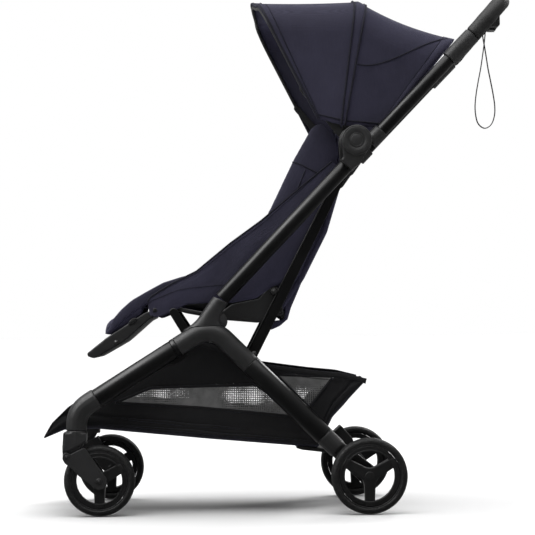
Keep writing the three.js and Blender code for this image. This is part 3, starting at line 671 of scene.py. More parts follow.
def make_socket(name):
    """The foot of the seat tube: it flares onto the arch, and ends in the disc that turns in the arch."""
    left = catmull([Vector((a[0], 0, a[1])) * MM for a, _ in SOCKET_EDGES], 5)
    right = catmull([Vector((b[0], 0, b[1])) * MM for _, b in SOCKET_EDGES], 5)
    rings = []
    for a, b in zip(left, right):
        wide = b - a
        half = wide.length / 2
        centre = (a + b) / 2 + Vector((0, PLANE, 0))
        heading = wide.cross(Vector((0, 1, 0)))
        rings.append(ring(centre, heading, half, 48, flatten=SOCKET_HALF_DEPTH / half, across=wide))
    shape = cut_away(loft("socket", rings), arch_body(18.9 * MM))
    foot = cross_pin(MAIN_PIVOT, 18 * MM, 168 * MM, 185.6 * MM)
    return merge(name, [shape, foot])


def make_front_leg(name):
    """The front leg tube, the ring at its top end, and the lug that turns in the arch."""
    along = (ELBOW_SEAM - COLLAR_SEAM).normalized()
    start, end = COLLAR_SEAM + along * 0.6 * MM, ELBOW_SEAM - along * 0.3 * MM
    tube = bar("tube", *at_side([start + along * 9 * MM, end]), 17.6 * MM, 0.4 * MM, 64)
    ring_piece = bar("ring", *at_side([start, start + along * 8.6 * MM]), 18.5 * MM, 1.0 * MM, 64)
    far = COLLAR_PIVOT + (Vector((-0.2718, 0, 0.248)) - COLLAR_PIVOT).normalized() * 18 * MM
    lug = slab("lug", outline_round(COLLAR_PIVOT, 11 * MM, far, 11 * MM), 168 * MM, 185.6 * MM, 0.8 * MM)
    return merge(name, [tube, ring_piece, lug])


def make_strut(name):
    """The strut: a flat bar with eased edges, and a small ear beside it for the seat's screw."""
    shift = Vector((-6, 0, 0)) * MM
    foot, top = STRUT_FOOT + shift * 0.6, STRUT_TOP + shift
    blade = slab("blade", outline_round(foot, 11 * MM, top, 9.5 * MM), 153.9 * MM, 159.7 * MM, 1.5 * MM, 4)
    ear_end = SEAT_PIVOT + Vector((0.016, 0, -0.008))
    ear = slab("ear", outline_round(SEAT_PIVOT, 8 * MM, ear_end, 9 * MM), 154.4 * MM, 159.0 * MM, 1.0 * MM)
    edge = Vector((-7.4, 159.6, 3.6)) * MM
    bead = swept("bead", [foot + edge, top + edge], 1.3 * MM, 12)
    return merge(name, [blade, ear, bead])


def make_caster_shroud(name):
    """The broad shell of the caster, which hides the top of the swing arm."""
    outline = [
        (-407, 158), (-409, 130), (-408.5, 108), (-402, 98), (-392, 99), (-380, 118), (-367, 140),
        (-365.5, 158),
    ]
    return melted(slab(name, in_metres(outline), PLANE - 14 * MM, PLANE + 14 * MM), 0.0014, 8)


def make_linked_castings():
    pair("caster_shroud", make_caster_shroud, PLASTIC, "caster_{side}")
    pair("arch_casting", make_arch, PLASTIC, "chassis", ["knuckle_{side}"])
    pair("seat_tube_socket", make_socket, PLASTIC, "main_frame", ["tube_socket_{side}"])
    pair("front_leg_tube", make_front_leg, TUBE, "front_frame", ["front_leg_{side}"])
    pair("strut_blade", make_strut, TUBE, "struts", ["strut_{side}"])


# ---- Wheels -------------------------------------------------------------------------------------


def wheel_parts(node):
    """A wheel node's centre, outer radius and half width."""
    low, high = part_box(node)
    low, high = Vector(low), Vector(high)
    return (low + high) / 2, (high.z - low.z) / 2, (high.y - low.y) / 2


def lathe_across(name, centre, profile, count=96):
    """A closed ring turned about an axle. profile is a list of (radius, distance across the width)."""
    rings = []
    for i in range(count):
        turn = 2 * math.pi * i / count
        out = Vector((math.cos(turn), 0, math.sin(turn)))
        rings.append([centre + out * radius + Vector((0, across, 0)) for radius, across in profile])
    return loft(name, rings, looped=True)


def eased(profile, rounds=2):
    """A closed outline with its corners cut, again and again."""
    for _ in range(rounds):
        cut = []
        for (ax, ay), (bx, by) in zip(profile, profile[1:] + profile[:1]):
            cut += [(ax * t + bx * (1 - t), ay * t + by * (1 - t)) for t in (0.75, 0.25)]
        profile = cut
    return profile


def tread_profile(bead, radius, half):
    """The outline of a tyre, with a shallow groove round each side of its tread."""
    groove = radius - 0.9 * MM
    side = [
        (bead, -half * 0.72),
        (bead + 2 * MM, -half * 0.86),
        (radius - 9 * MM, -half),
        (radius - 4 * MM, -half * 0.93),
        (radius - 1.2 * MM, -half * 0.62),
        (radius, -half * 0.34),
        (groove, -half * 0.30),
        (groove, -half * 0.26),
        (radius, -half * 0.22),
    ]
    return eased(side + [(r, -y) for r, y in reversed(side)])


def make_wheels():
    for end, bead in (("rear", 57 * MM), ("front", 53 * MM)):
        for side, sign in SIDES.items():
            node = f"{end}_tyre_{side}"
            centre, radius, half = wheel_parts(node)
            mesh = lathe_across(f"{node}_ring", centre, tread_profile(bead, radius, half))
            to_object(f"{node}_ring", mesh, RUBBER, BODY_OF[node], [node])
            low, high = bead - 0.1 * MM, bead + 2.6 * MM
            lip = eased([(low, -1.2 * MM), (high, -1.2 * MM), (high, 0.8 * MM), (low, 0.8 * MM)])
            place = centre + Vector((0, sign * (half * 0.80), 0))
            mesh = lathe_across(f"{node}_bead", place, lip)
            to_object(f"{node}_bead", mesh, GLOSSY, BODY_OF[node])
            cast_node(f"{end}_rim_{side}", 0.0011, 3, RIM)
            rim_details(f"{end}_rim_{side}", centre, sign, bead)


def rim_details(rim, centre, sign, bead):
    """A rolled inner edge, and raised spoke feet on the ring."""
    face = outer_face(rim, sign)
    inner = bead - 10 * MM
    low, high = inner - 0.6 * MM, inner + 2.4 * MM
    rolled = eased([(low, 0), (high, 0), (high, 1.1 * MM), (low, 1.1 * MM)])
    place = Vector((centre.x, face - sign * 0.2 * MM, centre.z))
    mesh = lathe_across(f"{rim}_edge", place, [(r, sign * y) for r, y in rolled])
    to_object(f"{rim}_edge", mesh, GLOSSY, BODY_OF[rim])
    feet = []
    for angle in (270, 30, 150):
        out = Vector((math.cos(math.radians(angle)), 0, math.sin(math.radians(angle))))
        across = Vector((-out.z, 0, out.x))
        foot = centre + out * (inner + 3.2 * MM)
        corners = [(-8.5, -4), (8.5, -4), (7.0, 4.4), (-7.0, 4.4)]
        outline = [foot + across * (a * MM) + out * (b * MM) for a, b in corners]
        low, high = face - 1.0 * MM, face + 1.0 * MM
        feet.append(slab(f"{rim}_foot", [(p.x, p.z) for p in outline], low, high, 0.7 * MM))
    to_object(f"{rim}_feet", merge(f"{rim}_feet", feet), RIM, BODY_OF[rim])


def screw(name, start, outward_y, radius, body, material=STEEL, socket=True):
    """A round screw head whose axis runs across the width, with a hexagonal socket."""
    end = start + Vector((0, outward_y, 0))
    profile = [(0, radius), (0.55, radius), (0.85, radius * 0.93), (1.0, radius * 0.80)]
    pieces = [turned(name, start, end, profile, 32)]
    if socket:
        inner, rim = (end + Vector((0, outward_y * share, 0)) for share in (-0.1, 0.04))
        pieces.append(turned(name, inner, rim, [(0, radius * 0.5), (1, radius * 0.46)], 6))
    return to_object(name, merge(name, pieces), material, body)


def make_bolts():
    for side, sign in SIDES.items():
        arm_face = outer_face(f"swing_arm_{side}", sign)
        rim_face = outer_face(f"rear_rim_{side}", sign)
        axle = wheel_parts(f"front_rim_{side}")[0]
        rear = wheel_parts(f"rear_rim_{side}")[0]
        for name, at, y, reach, radius, body, options in (
            ("front_axle_bolt", axle, arm_face - sign * 1.2 * MM, 2.4, 5.2, f"arm_{side}", [GLOSSY]),
            ("swing_arm_bolt", ARM_PIVOT, arm_face - sign * 1.0 * MM, 1.8, 4.2, f"arm_{side}", [GLOSSY]),
            ("rear_axle_cap", rear, rim_face - sign * 1 * MM, 1.5, 9, f"rear_wheel_{side}", [RIM, False]),
            ("strut_top_rivet", STRUT_TOP, sign * 159.6 * MM, 1.4, 6.4, "struts", []),
            ("seat_pivot_screw", SEAT_PIVOT, sign * 159.4 * MM, 1.6, 5.6, "seat_pan", []),
        ):
            screw(f"{name}_{side}", Vector((at.x, y, at.z)), sign * reach * MM, radius * MM, body, *options)


# ---- Handle -------------------------------------------------------------------------------------

STRAP_ROUTE = [
    (410.5, 3, 934), (411.5, 3, 918), (414.5, 3.5, 900), (417.5, 3.5, 880), (421, 3, 855), (425.5, 2, 830),
    (430, 1, 804), (432.6, 0, 782), (432.2, 0, 764), (427.5, 0, 748), (420, 0, 739.5), (412, 0, 737),
    (404.5, 0, 740.5), (398, 0, 749), (394.6, 0, 764), (393.8, 0, 782), (396, -1, 804), (400.5, -2, 830),
    (405.5, -3, 855), (409.5, -3.5, 880), (412.5, -3.5, 900), (414.8, -3, 918), (416, -3, 932),
]
STRAP_WIDTH = 9 * MM
STRAP_THICKNESS = 1.8 * MM


def make_strap():
    """The wrist strap: flat ribbon in a long loop."""
    path = catmull([Vector(p) * MM for p in STRAP_ROUTE], 6)
    rings = []
    for i, point in enumerate(path):
        along = (path[min(i + 1, len(path) - 1)] - path[max(i - 1, 0)]).normalized()
        wide = Vector((0, 1, 0))
        thin = along.cross(wide).normalized()
        section = []
        for k in range(20):
            turn = 2 * math.pi * k / 20
            c, s = math.cos(turn), math.sin(turn)
            w = math.copysign(abs(c) ** 0.45, c) * STRAP_WIDTH / 2
            h = math.copysign(abs(s) ** 0.75, s) * STRAP_THICKNESS / 2
            section.append(point + wide * w + thin * h)
        rings.append(section)
    mesh = loft("wrist_strap_ribbon", rings)
    strap = to_object("wrist_strap_ribbon", mesh, WEBBING, "handle", ["wrist_strap"])


GRIP_RADIUS = 15.5 * MM
GRIP_BEND = 84 * MM


def grip_thickness(share):
    """The grip's radius along its length: it narrows at its ends, and swells and shrinks a little."""
    ease = min(1, min(share, 1 - share) / 0.006)
    return GRIP_RADIUS * (0.90 + 0.10 * ease) + 0.15 * MM * math.sin(share * 90)


def make_grip():
    """The padded grip, and its sewn seam inside the bend."""
    start = GRIP_SEAM + Vector((0.7 * MM, PLANE, 0.8 * MM))
    corner = Vector((CROSSBAR.x, PLANE, CROSSBAR.z))
    flip = Matrix.Diagonal((1, -1, 1))
    path = evenly(rounded([start, corner, flip @ corner, flip @ start], [GRIP_BEND] * 2, 14), 120)
    mesh = swept("grip_cover", path, grip_thickness, 40, across=Vector((0, 0, 1)))
    to_object("grip_cover", mesh, LEATHER, "handle", ["grip"])
    seam = []
    inwards = -CROSSBAR.normalized()
    for i, point in enumerate(path[3:-3]):
        along = (path[min(i + 5, 119)] - path[i + 2]).normalized()
        side = (inwards - along * inwards.dot(along)).normalized()
        seam.append(point + side * (GRIP_RADIUS + 0.1 * MM))
    piped("grip_seam", seam, 0.7 * MM, 8, "handle")
    cast_node("release_housing", 0.0012, 5)
    cast_node("fold_button", 0.0005, 4, GLOSSY)


# The hinge cap's outline, as (radius, distance from the centre plane).
HUB_CAP = [
    (11.0, 222.0), (11.6, 222.2), (12.4, 222.3), (13.2, 222.0), (13.5, 219.4), (14.9, 219.4),
    (15.2, 222.2), (15.6, 222.6), (24.0, 222.6), (24.6, 222.4), (25.0, 221.8), (25.8, 221.7),
    (27.8, 220.9), (28.3, 219.8), (28.3, 217.0), (11.0, 217.0),
]


def make_hub_details():
    """The hinge's round cap: a bevelled rim, a groove and a button in the middle."""
    for side, sign in SIDES.items():
        mesh = lathe_across(f"hub_cap_{side}", HUB, [(r * MM, sign * y * MM) for r, y in HUB_CAP])
        to_object(f"hub_cap_{side}", mesh, PLASTIC, "main_frame")
        start, end = (HUB + Vector((0, sign * y * MM, 0)) for y in (220.8, 222.6))
        disc = turned(f"hub_button_{side}", start, end, [(0, 0.0109), (0.7, 0.0109), (1, 0.0099)], 64)
        to_object(f"hub_button_{side}", disc, PLASTIC, "main_frame")


# ---- Canopy -------------------------------------------------------------------------------------

# Side-view foot and top of each hoop, and how far its middle stands above its corners.
HOOPS = [
    {"base": (75, 741), "top": (-38, 966), "crown": 22},
    {"base": (121, 728), "top": (160, 968), "crown": 19},
    {"base": (194, 723), "top": (341, 896), "crown": 16},
]
HALF_WIDTH = 170.6
CORNER = 62  # how far the bend at each corner reaches
SAG = (3, 8)  # how far the cloth dips between the front and the rear pair of hoops
SKIN = 1.5 * MM


def hoop_at(u):
    """The hoop at u: 0 is the front edge, 1 the ridge and 2 the rear edge."""
    k = min(int(u), 1)
    share = u - k
    a, b = HOOPS[k], HOOPS[k + 1]

    def mix(p, q):
        return p + (q - p) * share

    base = Vector((mix(a["base"][0], b["base"][0]), 0, mix(a["base"][1], b["base"][1])))
    top = Vector((mix(a["top"][0], b["top"][0]), 0, mix(a["top"][1], b["top"][1])))
    top += (base - top).normalized() * SAG[k] * 4 * share * (1 - share)
    return base, top, mix(a["crown"], b["crown"])


def canopy_point(u, v):
    """A point of the canopy. v runs from the right foot (0) over the top to the left foot (1)."""
    base, top, crown = hoop_at(u)
    sign = 1 if v <= 0.5 else -1
    share = 2 * v if v <= 0.5 else 2 * (1 - v)
    rise = (top - base).length
    straight = rise - CORNER
    bend = CORNER * math.pi / 2
    level = HALF_WIDTH - CORNER
    run = share * (straight + bend + level)
    if run <= straight:
        up, across = run, HALF_WIDTH
    elif run <= straight + bend:
        turn = (run - straight) / CORNER
        up, across = straight + CORNER * math.sin(turn), level + CORNER * math.cos(turn)
    else:
        rest = (run - straight - bend) / level
        up, across = rise + crown * math.sin(rest * math.pi / 2) ** 2, level * (1 - rest)
    between = 4 * (u % 1) * (1 - u % 1)
    across -= 3.0 * between * math.sin(min(share * 2.2, 1) * math.pi)
    spot = base + (top - base).normalized() * up
    crease = 0.9 * noise.noise(Vector((spot.x * 0.012, sign * 3.1 + across * 0.006, spot.z * 0.016)))
    near_foot = max(0, 0.28 - share) / 0.28
    crease += 1.6 * near_foot * noise.noise(Vector((spot.x * 0.05, sign * 7.7, spot.z * 0.018)))
    across += crease * between
    return Vector((spot.x, sign * across, spot.z)) * MM


def canopy_angle(point):
    return math.degrees(math.atan2(point.z - CANOPY_PIVOT.z, point.x - CANOPY_PIVOT.x))


def canopy_sectors():
    """The four fans of cloth, each with its angles about the pivot and the bodies on either side."""
    rear = canopy_angle(flat(canopy_point(2, 0.5)))
    ridge = canopy_angle(flat(canopy_point(1, 0.5)))
    front = canopy_angle(flat(canopy_point(0, 0.5)))
    chain = ["handle", "canopy_rear", "canopy_ridge", "canopy_front", "canopy_visor"]
    edges = [rear, (rear + ridge) / 2, ridge, (ridge + front) / 2, front]
    return [
        {"from": low, "to": high, "bodies": (chain[i], chain[i + 1])}
        for i, (low, high) in enumerate(zip(edges, edges[1:]))
    ]


def sector_of(point, sectors):
    angle = canopy_angle(point)
    for i, sector in enumerate(sectors[:-1]):
        if angle < sector["to"]:
            return i
    return len(sectors) - 1


def add_canopy_cloth(name, mesh, material, replaced=()):
    """Cuts cloth of the canopy into its four fans."""
    sectors = canopy_sectors()
    normals = [v.normal.copy() for v in mesh.vertices]
    for i, sector in enumerate(sectors):
        edit = bmesh.new()
        edit.from_mesh(mesh)
        origin = edit.verts.layers.int.new("origin")
        for index, vertex in enumerate(edit.verts):
            vertex[origin] = index
        away = [f for f in edit.faces if sector_of(f.calc_center_median(), sectors) != i]
        bmesh.ops.delete(edit, geom=away, context="FACES")
        kept = [v[origin] for v in edit.verts]
        if not kept:
            edit.free()
            continue
        if replaced:
            close_cut(edit, origin, len(mesh.vertices) // 2)
        fan = bpy.data.meshes.new(f"{name}_{i}")
        edit.to_mesh(fan)
        edit.free()
        piece = to_object(f"{name}_{i}", fan, material)
        fan.normals_split_custom_set_from_vertices([normals[k] for k in kept])
        if replaced and i in (0, 3):
            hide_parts(replaced[0] if i == 0 else replaced[1])
        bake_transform(piece)
        if replaced:
            declare_fan(i)


def declare_fan(i):
    """Works out the width and the length of one of the canopy's fans, from the rear one; each is half of the cloth
    between two hoops. Nothing uses them.
    """
    near, far = 2 - i / 2, 1.5 - i / 2
    width = (canopy_point(near, 0.5) - canopy_point(far, 0.5)).length
    length = max(run_length([canopy_point(u, k / 60) for k in range(61)]) for u in (near, far))


def along_canopy(curve, steps, lift=0.0):
    """Points on the canopy under a curve of (u, v), pushed outwards by lift."""
    made = []
    middle = Vector((60 * MM, 0, 820 * MM))
    for i in range(steps + 1):
        u, v = curve(i / steps)
        point = canopy_point(u, v)
        du = canopy_point(min(u + 0.01, 2), v) - canopy_point(max(u - 0.01, 0), v)
        dv = canopy_point(u, min(v + 0.003, 1)) - canopy_point(u, max(v - 0.003, 0))
        normal = du.cross(dv).normalized()
        normal = normal if normal.dot(point - middle) > 0 else -normal
        made.append(point + normal * lift)
    return made


def over_canopy(u, steps, lift):
    """A line over the canopy at one u, from foot to foot."""
    return along_canopy(lambda t: (u, t), steps, lift)


def canopy_band(name, places, lift, thickness):
    """A strip of cloth on the canopy, through lines at several u."""
    return sheet(name, [over_canopy(u, 150, lift) for u in places], thickness)


def make_canopy_side(side):
    """The seam across a side of the rear cloth, and the piping along its foot."""
    def on_side_of(v):
        return v if side == "right" else 1 - v

    def seam(t):
        return 1.06 + 0.88 * t, on_side_of(0.155 + 0.16 * t ** 2.2)

    def foot(t):
        return 0.02 + 1.96 * t, on_side_of(0.012)

    for part, curve, steps, radius in (("seam", seam, 60, 1.5 * MM), ("foot", foot, 90, 1.7 * MM)):
        name = f"canopy_{part}_{side}"
        # The piping's dark colour paints the shade along this seam and along the cloth's foot.
        add_canopy_cloth(name, swept(name, along_canopy(curve, steps, 0.9 * MM), radius, 8), PIPING_AND_SEAM_SHADE)


def make_canopy():
    rows = [[canopy_point(2 * r / 84, c / 150) for c in range(151)] for r in range(85)]
    cover = sheet("canopy_cover", rows, SKIN)
    add_canopy_cloth("canopy_cover", cover, NAVY, ["canopy_rear_panel", "canopy_front_panel"])

    piped("canopy_front_roll", over_canopy(0.012, 160, -0.6 * MM), 3.0 * MM, 14, "canopy_visor")
    hem = canopy_band("canopy_front_hem", (0.0, 0.03, 0.06, 0.085), 1.2 * MM, 1.0 * MM)
    add_canopy_cloth("canopy_front_hem", hem, NAVY)
    for k, u in enumerate((0.02, 0.085)):
        piped(f"canopy_hem_stitch_{k}", over_canopy(u, 160, 1.8 * MM), 0.9 * MM, 8, "canopy_visor")

    band = canopy_band("canopy_ridge_band", (0.955, 0.98, 1.0, 1.03, 1.055), 1.6 * MM, 1.2 * MM)
    to_object("canopy_ridge_band", band, NAVY, "canopy_ridge")
    for k, u in enumerate((0.95, 1.06)):
        piped(f"canopy_ridge_piping_{k}", over_canopy(u, 160, 2.2 * MM), 2.2 * MM, 12, "canopy_ridge")

    hem = canopy_band("canopy_rear_hem", (1.90, 1.95, 2.0), 1.0 * MM, 1.2 * MM)
    to_object("canopy_rear_hem", hem, NAVY, "handle")
    piped("canopy_rear_stitch", over_canopy(1.895, 160, 1.4 * MM), 0.6 * MM, 6, "handle")
    for side in SIDES:
        make_canopy_side(side)


# ---- Basket -------------------------------------------------------------------------------------

BASKET_TOP = [
    (-447, 146), (-432, 172), (-401, 202), (-352, 234), (-340, 240), (-318, 249), (-190, 306), (-150, 322),
    (-112, 312), (-66, 280), (-33, 279), (60, 266), (118, 260), (161, 249),
]
BASKET_BOTTOM = [
    (-447, 145), (-410, 160), (-347, 161), (-140, 140), (70, 121), (87, 158), (97, 178), (119, 201),
    (132, 216), (161, 248),
]
BASKET_ENDS = (-446.5 * MM, 160.5 * MM)
BASKET_STEPS = 150
BASKET_HALF = 151.6 * MM
NOSE_END = -352 * MM
WINDOW = [(-312, 210), (-246, 237), (-49, 241), (44, 178), (-153, 199)]
REAR_WINDOW = [(-8, 259), (99, 254), (53, 197)]


def level_at(outline, x):
    """The height of a side-view outline at x."""
    for (ax, az), (bx, bz) in zip(outline, outline[1:]):
        if ax * MM <= x <= bx * MM:
            return (az + (bz - az) * (x / MM - ax) / (bx - ax)) * MM
    return outline[-1][1] * MM if x > 0 else outline[0][1] * MM


def basket_ring(x):
    """A cross-section of the basket, from the right rim under the floor to the left rim."""
    top, bottom = level_at(BASKET_TOP, x), level_at(BASKET_BOTTOM, x)
    height = max(top - bottom, 0.001)
    corner = min(20 * MM, height * 0.45)
    flat_half = BASKET_HALF - corner
    made = []
    for i in range(25):
        share = i / 24
        z = top - (height - corner) * share
        bow = math.sin(share * math.pi) * 1.4 * MM * noise.noise(Vector((x * 14, 1.7, z * 16)))
        fold_height = 26 + 4 * noise.noise(Vector((x * 11, 8, 0)))
        fold = 2.6 * MM * math.exp(-(((z - bottom) / MM - fold_height) / 4) ** 2)
        made.append(Vector((x, BASKET_HALF - 1.5 * MM * math.sin(share * math.pi) + bow - fold, z)))
    for i in range(1, 7):
        turn = math.pi / 2 * i / 6
        made.append(Vector((x, flat_half + corner * math.cos(turn), bottom + corner * (1 - math.sin(turn)))))
    for i in range(1, 12):
        y = flat_half * (1 - i / 11)
        dip = 2.5 * MM * noise.noise(Vector((x * 9, y * 9, 4.2)))
        made.append(Vector((x, y, bottom + 1.5 * MM + dip)))
    left = [Vector((p.x, -p.y, p.z)) for p in reversed(made[:-1])]
    return made + left


def inside(point, outline):
    """Whether a side-view point lies in an outline."""
    x, z = point.x / MM, point.z / MM
    hit = False
    for (ax, az), (bx, bz) in zip(outline, outline[1:] + outline[:1]):
        if (az > z) != (bz > z) and x < (bx - ax) * (z - az) / (bz - az) + ax:
            hit = not hit
    return hit


def basket_part(mesh, wanted):
    """The single layer of net in the windows of the basket, or the cloth round them."""
    edit = bmesh.new()
    edit.from_mesh(mesh)
    origin = edit.verts.layers.int.new("origin")
    for index, vertex in enumerate(edit.verts):
        vertex[origin] = index
    windows, outer = [], []
    for face in edit.faces:
        spot = face.calc_center_median()
        on_wall = abs(spot.y) > 140 * MM
        if on_wall and (inside(spot, WINDOW) or inside(spot, REAR_WINDOW)):
            windows.append(face)
            if face.normal.y * spot.y > 0:
                outer.append(face)
    away = windows if wanted == "cloth" else set(edit.faces) - set(outer)
    bmesh.ops.delete(edit, geom=list(away), context="FACES")
    if wanted == "cloth":
        close_cut(edit, origin, len(mesh.vertices) // 2)
    part = bpy.data.meshes.new(f"basket_{wanted}")
    edit.to_mesh(part)
    edit.free()
    return part


def basket_piece(name, mesh, material=BLACK_CLOTH, replaces=()):
    """A soft piece of the basket, riding on the chassis."""
    piece = to_object(name, mesh, material, "chassis", replaces)
    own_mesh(piece)
    return piece


def basket_trim(sign):
    """The window bindings, the rim, its stitching and the folds along the floor, on one side."""
    upright = Vector((0.3, 0, 1))
    made = []
    for outline in (WINDOW, REAR_WINDOW):
        path = [Vector((x, sign * (BASKET_HALF - 0.3 * MM), z)) for x, z in in_metres(outline + outline[:1])]
        made.append(swept("binding", evenly(path, 90), 2.6 * MM, 10, flatten=0.45, across=upright))
    rim = [Vector((x * MM, sign * BASKET_HALF, (z - 4) * MM)) for x, z in BASKET_TOP[3:]]
    made.append(swept("rim", evenly(rim, 120), 5 * MM, 12, flatten=0.32, across=Vector((0.2, 0, 1))))
    rim = [Vector((x * MM, sign * (BASKET_HALF + 0.8 * MM), (z - 14) * MM)) for x, z in BASKET_TOP[4:-1]]
    made.append(swept("stitch", evenly(rim, 120), 0.5 * MM, 6))
    for rise, x_end in ((11, 60), (24, -60)):
        made.append(basket_fold(sign, rise, x_end))
    return made


def fold_thickness(share):
    """A fold is thin at its ends and thick in its middle."""
    return (0.3 + 2.7 * math.sin(math.pi * share)) * MM


def basket_fold(sign, rise, x_end):
    """A soft fold along the basket's side, a given number of millimetres above the floor."""
    path = []
    for k in range(60):
        x = (-325 + (x_end + 325) * k / 59) * MM
        lift = rise * MM + 2.5 * MM * noise.noise(Vector((x * 14, rise, sign)))
        path.append(Vector((x, sign * (BASKET_HALF + 0.4 * MM), level_at(BASKET_BOTTOM, x) + lift)))
    return swept("fold", path, fold_thickness, 10, flatten=0.5, across=Vector((0.1, 0, 1)))


def make_basket():
    low, high = BASKET_ENDS
    stations = [low + (high - low) * i / BASKET_STEPS for i in range(BASKET_STEPS + 1)]
    rows = [basket_ring(x) for x in stations]
    whole = sheet("basket_cloth", rows, 1.6 * MM)
    net = basket_piece("basket_net", basket_part(whole, "net"), NET)
    piece = basket_piece("basket_cloth", basket_part(whole, "cloth"), replaces=["basket"])
    plate = [(28, 119.5), (30, 124), (84, 118.5), (90, 114), (86, 110.5), (40, 116)]
    mesh = slab("basket_plate", in_metres(plate), -140 * MM, 140 * MM, 1.2 * MM)
    basket_piece("basket_plate", mesh, GLOSSY)

    nose = []
    for x in [s for s in stations if s <= NOSE_END + 3 * MM]:
        top = level_at(BASKET_TOP, x)
        nose.append([Vector((x, BASKET_HALF * (1 - i / 20), top)) for i in range(41)])
    basket_piece("basket_nose", sheet("basket_nose", nose, 1.6 * MM))
    trim = [mesh for sign in SIDES.values() for mesh in basket_trim(sign)]
    basket_piece("basket_bindings", merge("basket_bindings", trim))


# ---- Seat ---------------------------------------------------------------------------------------


PAD_PRESSURE = 4.0
PAD_VOXEL = 0.005


def puffed(node, shrink, cap):
    """A padded form of a CAD block: a blown-up cloth skin, capped so that it stays in its place."""
    mesh = frame["nodes"][node].data.copy()
    low, high = (Vector(corner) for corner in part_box(node))
    mesh = melted(mesh, PAD_VOXEL, 6)
    centre = (low + high) / 2
    size = high - low
    scale = Vector(((size[i] - 2 * shrink) / size[i] for i in range(3)))
    mesh.transform(Matrix.Translation(centre) @ Matrix.Diagonal((*scale, 1)) @ Matrix.Translation(-centre))
    pad = bpy.data.objects.new(f"{node}_sim", mesh)
    bpy.context.collection.objects.link(pad)
    before = [v.co.copy() for v in mesh.vertices]
    swell = pad.modifiers.new("cloth", "CLOTH")
    swell.settings.use_pressure = True
    swell.settings.uniform_pressure_force = PAD_PRESSURE
    swell.settings.effector_weights.gravity = 0
    swell.settings.quality = 5
    for step in range(1, 21):
        bpy.context.scene.frame_set(step)
    after = bpy.data.meshes.new_from_object(pad.evaluated_get(bpy.context.evaluated_depsgraph_get()))
    for vertex, start in zip(after.vertices, before):
        move = vertex.co - start
        if move.length > cap:
            vertex.co = start + move * (cap / move.length)
    bpy.data.objects.remove(pad)
    bpy.context.scene.frame_set(1)
    return baked(after, ("SMOOTH", {"factor": 0.5, "iterations": 2}), ("SUBSURF", {"levels": 1}))


def make_pads():
    for node, shrink, cap in (("seat_cushion", 4, 6), ("back_pad", 4, 6), ("calf_pad", 3, 5)):
        mesh = puffed(node, shrink * MM, cap * MM)
        piece = to_object(f"{node}_cover", mesh, NAVY, BODY_OF[node], [node])


def on_side(mesh, points, sign, lift=0.0):
    """Side-view points moved across the width onto the outside of a mesh."""
    edit = bmesh.new()
    edit.from_mesh(mesh)
    tree = BVHTree.FromBMesh(edit)
    edit.free()
    made = []
    for x, z in points:
        hit = tree.ray_cast(Vector((x * MM, sign * 0.4, z * MM)), Vector((0, -sign, 0)))[0]
        if hit:
            made.append(hit + Vector((0, sign * lift, 0)))
    return made


BOLSTER_FRONT = [(60, 726), (30, 674), (2, 615), (-22, 562), (-27, 498), (-20, 446)]
BOLSTER_SEAM = [(22, 664), (40, 657), (58, 648), (74, 640)]
BOLSTER_INNER = [(52, 648), (36, 610), (12, 560), (2, 500), (4, 450)]


def closer(line, count=40):
    """The same side-view line with its points closer together."""
    return [(p.x, p.z) for p in evenly([Vector((x, 0, z)) for x, z in line], count)]


def make_back_seams():
    pad = bpy.data.objects["back_pad_cover"].data
    for side, sign in SIDES.items():
        seams = []
        for line, radius in ((BOLSTER_FRONT, 1.8 * MM), (BOLSTER_SEAM, 1.4 * MM), (BOLSTER_INNER, 1.2 * MM)):
            path = on_side(pad, closer(line), sign, 0.1 * MM)
            if len(path) > 3:
                seams.append(swept("seam", path, radius, 8))
        # The seams' dark colour paints the shade in the seams of the bolster.
        to_object(f"back_pad_seams_{side}", merge("seams", seams), PIPING_AND_SEAM_SHADE, "backrest")


POCKET = [
    (98, 553), (90, 528), (59, 474), (33, 412), (21, 385), (15, 364), (0, 351), (-18, 343), (-31, 348),
    (-33, 359), (9, 363), (9, 425), (38, 480), (62, 520), (92, 552),
]
KNEE_ROLL = [
    (-335, 341), (-326, 347), (-318, 366), (-302, 385), (-281, 403), (-253, 419), (-221, 436), (-185, 447),
    (-150, 454), (-152, 436), (-190, 428), (-225, 412), (-250, 396), (-272, 383), (-297, 364), (-315, 346),
    (-326, 337),
]
SLING = [
    (-190, 390), (-164, 385.5), (-107, 371), (-50, 361), (-30, 366), (-6, 420), (-14, 428), (-40, 411),
    (-88, 402), (-138, 400), (-175, 398),
]


def make_back():
    """The cover of the back shell, and the pocket behind it, whose tail reaches down to the seat."""
    shell = melted(frame["nodes"]["back_shell"].data.copy(), 0.0035, 6)
    shell = baked(shell, ("DISPLACE", {"strength": 0.0016, "mid_level": 0.0}), ("SMOOTH", {"iterations": 4}))
    to_object("back_cover", shell, NAVY, "backrest", ["back_shell"])
    pocket = soft_slab("back_pocket", POCKET, 136 * MM, 0.003, 6)
    piece = to_object("back_pocket", pocket, NAVY)
    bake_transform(piece)


def make_under_seat():
    """The roll of cloth over the knees' edge, which runs down over the calf pad, and the sling."""
    roll = soft_slab("knee_roll", KNEE_ROLL, 133 * MM, 0.004, 5)
    piece = to_object("knee_roll", roll, NAVY)
    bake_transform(piece)
    sling = soft_slab("seat_sling", SLING, 134 * MM, 0.004, 5)
    to_object("seat_sling", sling, BLACK_CLOTH, "seat_pan")


LEGREST_FACE = 132 * MM


